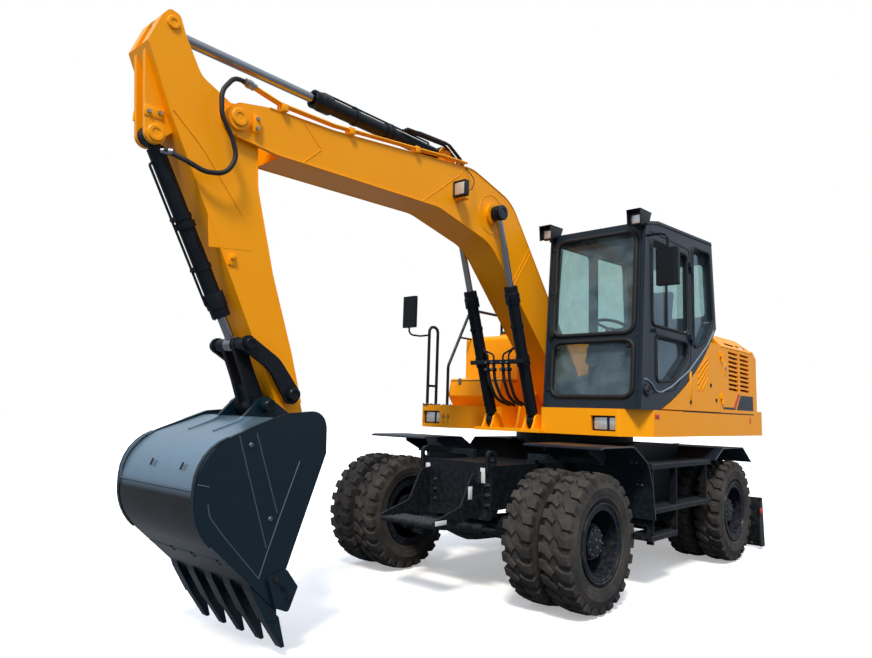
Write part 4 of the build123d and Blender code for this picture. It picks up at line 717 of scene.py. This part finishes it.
def work_lamp(name, body, x, y, z, size, lens_size):
    """A square lamp housing that faces forward at x, with its bezel and a lens that carries the ribs."""
    half = size / 2
    case = [(at(x - 0.024, y, z), (0.040, size, size)), (at(x - 0.055, y, z), (0.03, size * 0.7, size * 0.7))]
    case += [(at(x, y + side * (half - 0.006), z), (0.022, 0.012, size)) for side in (-1, 1)]
    case += [(at(x, y, z + side * (half - 0.006)), (0.022, size, 0.012)) for side in (-1, 1)]
    made = blocks(f"{name}_case", body, case, plastic, 0.005)
    blocks(f"{name}_lens", body, [(at(x - 0.001, y, z), (0.012, lens_size, lens_size))], lens_glass, 0.005)
    return made


for side, y in (("right", 0.290), ("left", 1.180)):
    work_lamp(f"roof_lamp_{side}", "upper", 0.990, y, 3.125, 0.100, 0.076)
    cheeks = [side_on(y + at_y, (1.028, 3.062), (1.040, 3.198), (0.82, 3.205), (0.86, 3.12))
              for at_y in (-0.064, 0.060)]
    plates(f"lamp_cheeks_{side}", "upper", cheeks, (0, 0.004, 0), plastic, 0.001)
    plates(f"lamp_hood_{side}", "upper", [[at(0.82, y - 0.066, 3.205), at(1.045, y - 0.066, 3.198),
                                           at(1.045, y + 0.066, 3.198), at(0.82, y + 0.066, 3.205)]],
           (0, 0, 0.005), plastic, 0.001)
    blocks(f"lamp_foot_{side}", "upper", [(at(0.905, y, 3.095), (0.05, 0.035, 0.06))], plastic, 0.003)
boom_case = work_lamp("boom_lamp", "boom_arm", 2.145, 0.165, 3.292, 0.135, 0.105)
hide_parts("boom_lamp")
blocks("boom_lamp_bracket", "boom_arm", [(at(2.10, 0.150, 3.212), (0.07, 0.10, 0.012)),
                                         (at(2.10, 0.106, 3.222), (0.07, 0.012, 0.05))], yellow)
hex_heads("boom_lamp_screws", "boom_arm", [at(2.10, 0.165, 3.206)], (0, 0, -1), 0.022, 0.012)
cable = bent([at(2.08, 0.165, 3.30), at(2.00, 0.17, 3.31), at(1.93, 0.16, 3.42), at(2.0, 0.10, 3.53)], 0.09)
piping("boom_lamp_cable", "boom_arm", [cable], 0.008, rubber)

# Boom and stick steelwork. Weld beads run along the box edges and round the stiffened zones, and each pivot
# pin ends in a turned cap; on three of them a keeper at each end is held by a pair of zinc screws.
boom_middle = -0.060
boom_sides = (0.100, -0.220)
stick_sides = (0.065, -0.185)
beads = []
for y in boom_sides:
    beads.append(bent(side_on(y, (4.20, 3.081), (3.90, 3.053), (2.33, 3.099), (1.627, 2.937), (0.275, 1.556)),
                      0.45))
    beads.append(bent(side_on(y, (3.98, 3.344), (3.45, 3.368), (1.90, 3.545), (1.321, 3.39), (0.10, 1.848)),
                      0.42))
piping("boom_edge_beads", "boom_arm", beads, 0.012, yellow)
seams = []
for y in (boom_sides[0] + 0.0005, boom_sides[1] - 0.0005):
    seams += [[at(2.52, y, 3.10), at(2.10, y, 3.42), at(2.0, y, 3.53)],
              [at(1.02, y, 3.01), at(1.30, y, 2.62)], [at(0.99, y, 2.975), at(1.275, y, 2.59)],
              [at(3.70, y, 3.06), at(3.55, y, 3.20), at(3.72, y, 3.35)]]
    seams.append(ring_path([at(1.62 + 0.19 * cos(pi / 4 * n), y, 3.2 + 0.19 * sin(pi / 4 * n))
                            for n in range(8)], 0.15))
piping("boom_seams", "boom_arm", seams, 0.006, yellow)
stick_edges = []
for y in stick_sides:
    stick_edges.append(bent(side_on(y, (4.768, 3.460), (4.610, 3.100), (3.835, 1.58)), 0.1))
    stick_edges.append(bent(side_on(y, (3.585, 1.46), (3.684, 1.781), (3.860, 2.266), (4.010, 2.80),
                                    (4.035, 3.12)), 0.4))
    stick_edges.append(bent(side_on(y, (4.10, 2.60), (4.40, 2.95), (4.60, 3.12)), 0.5))
piping("stick_edge_beads", "stick_arm", stick_edges, 0.010, yellow)
cap = [(0.001, 0.0), (0.056, 0.0), (0.056, 0.008), (0.050, 0.013), (0.030, 0.013), (0.028, 0.008),
       (0.001, 0.008)]


def pin_ends(name, body, pin, half, grow, screws, finish):
    """Turned caps at both ends of a pin, each with a keeper plate and two screws at an (x, z) step away."""
    ends = [(at(pin[0], boom_middle + side * half, pin[1]), side) for side in (-1, 1)]
    for number, (place, side) in enumerate(ends):
        turned(f"{name}_cap_{number}", body, [(r * grow, a) for r, a in cap], [place], (0, side, 0), finish)
        if screws:
            keeper = place + Vector((screws[0], 0, screws[1]))
            spread = Vector((-screws[1], 0, screws[0])).normalized() * 0.032
            blocks(f"{name}_keeper_{number}", body, [(keeper, (0.05 + abs(spread.x) * 2, 0.012,
                                                               0.05 + abs(spread.z) * 2))], finish)
            heads = [keeper + turn * spread + Vector((0, side * 0.006, 0)) for turn in (-1, 1)]
            hex_heads(f"{name}_screws_{number}", body, heads, (0, side, 0), 0.026, 0.012)


stick_pivot = (4.205, 3.195)
bucket_pivot = (3.578, 1.215)
link_foot = (3.872, 1.434)
rocker_pivot = (3.702, 1.510)
boom_cylinder = ((1.020, 1.370), (1.620, 3.200))
arm_cylinder = ((2.153, 3.613), (4.640, 3.635))
bucket_cylinder = ((4.665, 2.970), (4.038, 1.808))
pin_ends("stick_pin", "boom_arm", stick_pivot, 0.182, 1.0, (-0.125, 0.0), yellow)
pin_ends("bucket_cylinder_pin", "stick_arm", bucket_cylinder[0], 0.0705, 0.9, (0.02, 0.115), yellow)
pin_ends("arm_head_pin", "stick_arm", arm_cylinder[1], 0.125, 0.7, None, yellow)
pin_ends("arm_foot_pin", "boom_arm", arm_cylinder[0], 0.0765, 0.8, (-0.02, -0.10), yellow)
pin_ends("bucket_pin", "bucket_body", bucket_pivot, 0.187, 0.95, None, chassis_blue)
pin_ends("link_pin", "bucket_body", link_foot, 0.202, 0.72, None, chassis_blue)
pin_ends("rocker_pin", "rockers", rocker_pivot, 0.213, 0.75, None, chassis_blue)
pin_ends("rod_pin", "rockers", bucket_cylinder[1], 0.208, 0.66, None, chassis_blue)
blocks("stick_clip", "stick_arm", [(at(4.16, 0.069, 2.315), (0.05, 0.01, 0.07)),
                                   (at(4.16, 0.078, 2.33), (0.028, 0.02, 0.028))], yellow)
blocks("stick_blank_plate", "stick_arm", [(at(4.18, 0.0655, 2.49), (0.30, 0.0012, 0.22),
                                           Matrix.Rotation(radians(6), 3, "Y"))], yellow, 0)

# Boom piping. Two enamelled steel pipes run along the top of the boom in three clamps, from the cylinder
# foot to unions behind the stick's pivot.
pipe_y = (0.088, 0.116)
boom_pipes = []
for y in pipe_y:
    boom_pipes.append(bent(side_on(y, (2.00, 3.565), (2.33, 3.535), (2.75, 3.485), (3.45, 3.405),
                                   (3.90, 3.395), (4.04, 3.42), (4.13, 3.44)), 0.12))
piping("boom_pipes", "boom_arm", boom_pipes, 0.020, yellow)
lean = Matrix.Rotation(radians(6.5), 3, "Y")
clamps = [(at(x, 0.098, z), (0.045, 0.07, 0.05), lean)
          for x, z in ((2.62, 3.49), (3.88, 3.375), (3.30, 3.41))]
blocks("pipe_clamps", "boom_arm", clamps, yellow, 0.004)
hex_heads("pipe_clamp_screws", "boom_arm", side_on(0.102, (2.62, 3.514), (3.88, 3.40), (3.30, 3.435)),
          (0, 0, 1), 0.022, 0.012)
union = [(0.001, 0.0), (0.017, 0.0), (0.017, 0.03), (0.021, 0.03), (0.021, 0.055), (0.015, 0.055),
         (0.015, 0.08), (0.001, 0.08)]
turned("pipe_unions", "boom_arm", union, [at(4.10, y, 3.432) for y in pipe_y], (0.97, 0, 0.22), zinc, 20)

# Cylinder fittings. Each barrel has a stepped gland with screws round its face, and a return pipe that runs
# along it through two bands and turns into a port at each end.
boom_cylinder_sides = (0.175, -0.295)
barrels = (("boom_left", "boom_barrels", boom_cylinder, boom_cylinder_sides[0], 1.260, 0.054, -1),
           ("boom_right", "boom_barrels", boom_cylinder, boom_cylinder_sides[1], 1.260, 0.054, -1),
           ("arm", "arm_barrel", arm_cylinder, boom_middle, 1.375, 0.056, 1),
           ("bucket", "bucket_barrel", bucket_cylinder, boom_middle, 1.130, 0.050, 1))
for name, body, (foot_pin, head_pin), y, length, radius, up in barrels:
    start = at(foot_pin[0], y, foot_pin[1])
    run = (at(head_pin[0], y, head_pin[1]) - start).normalized()
    aside = Vector((-run.z, 0, run.x)) * up
    gland = [(radius - 0.006, -0.155), (radius + 0.012, -0.155), (radius + 0.014, -0.150),
             (radius + 0.014, -0.06), (radius + 0.008, -0.055), (radius + 0.008, -0.006),
             (radius + 0.002, 0.001), (radius - 0.006, 0.001)]
    turned(f"{name}_gland", body, gland, [start + run * length], run, chassis_blue)
    hex_heads(f"{name}_gland_screws", body, ring_of(start + run * (length + 0.001), run, radius - 0.002, 8),
              run, 0.010, 0.006, chassis_blue)
    bands = [(radius - 0.004, 0.0), (radius + 0.006, 0.0), (radius + 0.006, 0.03), (radius - 0.004, 0.03)]
    turned(f"{name}_bands", body, bands, [start + run * length * share for share in (0.42, 0.70)], run,
           chassis_blue)
    path = [start + run * along + aside * (radius + off)
            for along, off in ((0.15, -0.01), (0.15, 0.022), (length - 0.09, 0.022), (length - 0.09, -0.01))]
    piping(f"{name}_return_pipe", body, [bent(path, 0.02)], 0.016, chassis_blue)
    lugs = [(start + run * length * share + aside * (radius + 0.012), (0.03, 0.035, 0.024))
            for share in (0.435, 0.715)]
    blocks(f"{name}_pipe_lugs", body, lugs, chassis_blue)
sleeve = [(0.034, 0.0), (0.066, 0.0), (0.068, 0.004), (0.068, 0.062), (0.066, 0.066), (0.034, 0.066)]
(foot_x, foot_z), (head_x, head_z) = boom_cylinder
sleeves = [at(head_x, y - 0.033, head_z) for y in boom_cylinder_sides]
turned("head_sleeves", "boom_rods", sleeve, sleeves, (0, 1, 0), chassis_blue)
for side, y in ((1, 0.2215), (-1, -0.3415)):
    turned(f"head_cap_{'left' if side > 0 else 'right'}", "boom_rods", [(r * 1.22, a * 1.3) for r, a in cap],
           [at(head_x, y, head_z)], (0, side, 0), cab_grey)

# Hoses. Braided hoses under black rubber: one loops over the stick's pivot to a zinc ferrule at the bucket
# cylinder, three feed the arm cylinder, and four hang from the clamp bar across the boom cylinders.
ferrule = [(0.001, 0.0), (0.021, 0.0), (0.021, 0.05), (0.016, 0.055), (0.016, 0.075), (0.001, 0.075)]
loop = bent([at(4.17, 0.103, 3.445), at(4.26, 0.125, 3.43), at(4.355, 0.155, 3.30), at(4.345, 0.16, 3.15),
             at(4.265, 0.16, 3.03), at(4.225, 0.16, 2.92), at(4.29, 0.155, 2.80), at(4.41, 0.13, 2.785),
             at(4.52, 0.10, 2.83), at(4.618, 0.036, 2.88)], 0.14)
stick_hose = piping("stick_hose", None, [loop], 0.030, rubber)
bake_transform(stick_hose)
turned("stick_hose_end", "stick_arm", ferrule, [at(4.575, 0.066, 2.868)], (0.65, -0.75, 0.1), zinc, 20)
arm_hoses = []
for y, drop in ((0.010, 0.0), (-0.018, 0.012), (0.036, 0.02)):
    arm_hoses.append(bent([at(2.66, y, 3.672), at(2.50, y + 0.02, 3.692 - drop),
                           at(2.20, y + 0.05, 3.690 - drop), at(2.02, y + 0.03, 3.62 - drop),
                           at(1.93, y, 3.52)], 0.12))
arm_feed = piping("arm_hoses", None, arm_hoses, 0.022, rubber)
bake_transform(arm_feed)
bar_x = 1.272
blocks("hose_bar", "boom_barrels", [(at(bar_x, boom_middle, 1.905), (0.04, 0.62, 0.04))], chassis_blue)
bar_bands = [(0.050, 0.0), (0.064, 0.0), (0.064, 0.05), (0.050, 0.05)]
cylinder_run = (at(head_x, 0, head_z) - at(foot_x, 0, foot_z)).normalized()
turned("bar_bands", "boom_barrels", bar_bands, [at(foot_x, y, foot_z) + cylinder_run * 0.53
                                                for y in boom_cylinder_sides], cylinder_run, chassis_blue)
hose_y = (-0.175, -0.105, 0.000, 0.065)
clamp_levels = (1.90, 1.835)
blocks("hose_clamps", "boom_barrels", [(at(bar_x, y, z), (0.050, 0.045, 0.03)) for y in hose_y
                                       for z in clamp_levels], chassis_blue, 0.004)
hex_heads("hose_clamp_screws", "boom_barrels", [at(bar_x + 0.025, y, z) for y in hose_y
                                                for z in clamp_levels], (1, 0, 0), 0.018, 0.01)
foot_hoses = piping("foot_hoses", None, [bent([at(1.270, y, 1.885), at(1.25, y, 1.74),
                                               at(1.15, y * 0.9, 1.56), at(0.96, y * 0.8, 1.515)], 0.2)
                                         for y in hose_y], 0.030, rubber)
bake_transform(foot_hoses)
risers = [bent([at(bar_x - 0.002, y, 1.90), at(bar_x, y, 1.975), at(1.275, y + reach * 0.7, 2.01),
                at(1.262, y + reach, 2.035)], 0.04) for y, reach in ((-0.175, -0.065), (-0.105, -0.135),
                                                                     (0.0, 0.12), (0.065, 0.055))]
piping("riser_pipes", "boom_barrels", risers, 0.018, chassis_blue)

# Bucket fittings. Wear plates and edge strips are welded to the rolled shell, with slots to drain it drawn as
# black blocks of painted shade; pale weld lines cross the side plates, the side cutters are bolted on and
# each tooth is held by a pin.
shell_line = bent(side_on(0, (3.948, 0.300), (4.477, 0.784), (4.477, 1.188), (3.935, 1.372)), 0.34)
weld = stock("brushed weld bead", "dark_paint", "#5C6C78", 0.6, 0.4, 300.0, 0.1)


def raised_from(path, height):
    """A line pushed out to the right of its run by a height."""
    out = []
    for number, point in enumerate(path):
        run = path[min(number + 1, len(path) - 1)] - path[max(number - 1, 0)]
        out.append(point + Vector((run.z, 0, -run.x)).normalized() * height)
    return out


def on_shell(x, z):
    """The shell's nearest place to (x, z), and the direction of its surface there."""
    number = min(range(1, len(shell_line) - 1), key=lambda n: (shell_line[n] - at(x, 0, z)).length)
    ahead, behind = shell_line[number + 1], shell_line[number - 1]
    run = (ahead - behind).normalized()
    span = max(0.0, min(1.0, (at(x, 0, z) - behind).dot(run) / (ahead - behind).length))
    return behind.lerp(ahead, span), run


def across_shell(y_low, path, height):
    """The outline of a strip that lies on the shell, at one side."""
    step = Vector((0, y_low, 0))
    return [p + step for p in path] + [p + step for p in reversed(raised_from(path, height))]


strips = [across_shell(y, shell_line[1:-1], 0.009) for y in (-0.519, 0.371)]
plates("shell_strips", "bucket_body", strips, (0, 0.028, 0), bucket_blue)
worn_part = [p for p in shell_line if p.z < 0.97][1:]
plates("wear_plate", "bucket_body", [across_shell(-0.485, worn_part, 0.005)], (0, 0.850, 0), bucket_blue)
bars = []
for x, z in ((4.476, 0.975), (4.455, 0.835), (4.25, 0.577)):
    place, run = on_shell(x, z)
    bars.append([place + Vector((0, y, 0)) for y in (-0.505, 0.390)])
piping("shell_weld_bars", "bucket_body", bars, 0.014, weld)
# Each drain slot is a flat black block on the shell, painted shade standing in for the dark of the opening.
drains = []
for x, z, y in ((4.44, 1.087, -0.15), (4.44, 1.087, 0.20), (4.245, 0.572, -0.23), (4.245, 0.572, 0.01),
                (4.245, 0.572, 0.285)):
    place, run = on_shell(x, z)
    out = Vector((run.z, 0, -run.x))
    seat = Matrix((out, (0, 1, 0), run)).transposed()
    drains.append((place + Vector((0, y, 0)) + out * 0.004, (0.006, 0.017, 0.042), seat))
blocks("drain_slots", "bucket_body", drains, rubber, 0.002)
side_lines = [[(4.400, 0.905), (4.385, 0.838), (4.30, 0.735), (4.058, 0.474)],
              [(3.817, 1.114), (3.946, 0.784), (4.008, 0.619), (4.058, 0.474)],
              [(4.237, 1.265), (4.020, 0.637)], [(4.126, 1.279), (3.959, 0.824)],
              [(4.470, 1.012), (4.400, 0.997)]]
weld_lines = [bent(side_on(y, *line), 0.1) for y in (0.4002, -0.5202) for line in side_lines]
piping("side_weld_lines", "bucket_body", weld_lines, 0.008, weld)
for side, y, cutter_y in ((1, 0.4, 0.422), (-1, -0.52, -0.542)):
    word = "left" if side > 0 else "right"
    turned(f"side_plugs_{word}", "bucket_body", button, side_on(y, (4.160, 1.213), (4.005, 0.795)),
           (0, side, 0), weld, 16)
    hex_heads(f"cutter_bolts_{word}", "bucket_body",
              side_on(cutter_y, (3.955, 0.455), (3.90, 0.40), (3.865, 0.335)), (0, side, 0), 0.032, 0.014,
              chassis_blue)
    hex_heads(f"tooth_pins_{word}", "bucket_body", [at(3.965, -0.470 + 0.205 * n + side * 0.040, 0.285)
                                                    for n in range(5)], (0, side, 0), 0.024, 0.008,
              chassis_blue)

# Deck fittings. Rail feet are bolted plates, the tank has a turned filler cap and a punched walkway strip,
# and the tool box lid has a seam and a pair of latches.
feet = [(at(x, -1.150, 1.5045), (0.075, 0.075, 0.008)) for x in (0.900, 1.035, 0.715)]
feet.append((at(-0.25, -1.150, 2.2945), (0.075, 0.075, 0.008)))
blocks("rail_feet", "upper", feet, chassis_blue, 0.0015)
hex_heads("rail_foot_screws", "upper", [middle + Vector((dx, dy, 0.004)) for middle, size in feet
                                        for dx in (-0.027, 0.027) for dy in (-0.027, 0.027)], (0, 0, 1),
          0.014, 0.008)
filler = [(0.001, 0.0), (0.058, 0.0), (0.062, 0.006), (0.062, 0.022), (0.056, 0.030), (0.020, 0.030),
          (0.018, 0.040), (0.001, 0.040)]
turned("filler_cap", "upper", filler, [at(0.06, -0.860, 2.330)], (0, 0, 1), plastic, 40)
pads = [at(0.24 - 0.055 * row, -1.12 + 0.05 * number, 2.290) for row in range(6) for number in range(11)
        if (0.24 - 0.055 * row - 0.06) ** 2 + (-1.12 + 0.05 * number + 0.86) ** 2 > 0.0075]
turned("walkway_rings", "upper", grip, pads, (0, 0, 1), yellow, 10)
lid = [side_on(y, (0.330, 1.775), (0.617, 1.775)) for y in (-1.1915, -0.4985)]
lid.append([at(0.619, y, 1.775) for y in (-1.188, -0.502)])
piping("lid_seam", "upper", lid, 0.008, rubber)
blocks("lid_latches", "upper", [(at(0.628, y, 1.765), (0.012, 0.04, 0.07)) for y in (-1.05, -0.65)], zinc,
       0.003)

# Driver's seat. Two cushions of foam under black woven cloth swell between their edges, which carry a
# piped welt; they rest on the pan and hang on the seat frame.
fabric = stock("black woven seat cloth", "seat_fabric", "#23262B", 0.0, 0.9, 1400.0, 0.5)
tree = fabric[0].node_tree
place = add(tree, "TexCoord").outputs["Object"]
warp = add(tree, "TexWave", {"bands_direction": "Y", "Scale": 90.0}, {"Vector": place})
weft = add(tree, "TexWave", {"bands_direction": "Z", "Scale": 90.0}, {"Vector": place})
weave = add(tree, "Math", {"operation": "MULTIPLY"}, {0: warp.outputs["Fac"], 1: weft.outputs["Fac"]})
bump = add(tree, "Bump", {"Strength": 0.6, "Distance": 0.002}, {"Height": weave})
fill(tree, tree.nodes["Principled BSDF"], {}, {"Normal": bump})

seat_shape = bmesh.new()
seat_shape.from_mesh(nodes["seat"].data)
bmesh.ops.remove_doubles(seat_shape, verts=seat_shape.verts, dist=0.0001)
bmesh.ops.recalc_face_normals(seat_shape, faces=seat_shape.faces)
mesh = bpy.data.meshes.new("seat_cushions")
seat_shape.to_mesh(mesh)
seat_shape.free()
seat = bpy.data.objects.new("seat_cushions", mesh)
scene.collection.objects.link(seat)
inset = seat.modifiers.new("inset", "DISPLACE")
inset.strength = -0.010
voxels = seat.modifiers.new("voxels", "REMESH")
voxels.mode = "VOXEL"
voxels.voxel_size = 0.009


def baked(piece):
    """Puts a piece's modifiers into its mesh."""
    made = bpy.data.meshes.new_from_object(piece.evaluated_get(bpy.context.evaluated_depsgraph_get()))
    piece.modifiers.clear()
    piece.data = made


cloth_frames = 20
cloth_reach = 0.012
baked(seat)
resting = [vert.co.copy() for vert in seat.data.vertices]
cloth = seat.modifiers.new("cloth", "CLOTH")
cloth.settings.use_pressure = True
cloth.settings.uniform_pressure_force = 4.0
cloth.settings.effector_weights.gravity = 0.0
cloth.point_cache.frame_start = 1
cloth.point_cache.frame_end = cloth_frames
for number in range(1, cloth_frames + 1):
    scene.frame_set(number)
baked(seat)
scene.frame_set(1)
for vert, start in zip(seat.data.vertices, resting):
    moved = vert.co - start
    if moved.length > cloth_reach:
        vert.co = start + moved.normalized() * cloth_reach
rounder = seat.modifiers.new("rounder", "SUBSURF")
rounder.levels = 1
rounder.render_levels = 1
seat.data.materials.clear()
seat.data.materials.append(fabric[0])
seat.data.shade_smooth()
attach(seat, "upper")
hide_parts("seat")
welts = [ring_path([at(x, y, z) for x, y, z in ((0.285, 0.515, 2.098), (0.285, 0.965, 2.098),
                                                (-0.165, 0.965, 2.072), (-0.165, 0.515, 2.072))], 0.05),
         ring_path([at(x, y, z) for x, y, z in ((-0.145, 0.52, 2.13), (-0.145, 0.96, 2.13),
                                                (-0.232, 0.96, 2.69), (-0.232, 0.52, 2.69))], 0.06)]
piping("seat_welts", "upper", welts, 0.008, fabric, closed=True)

low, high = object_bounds()
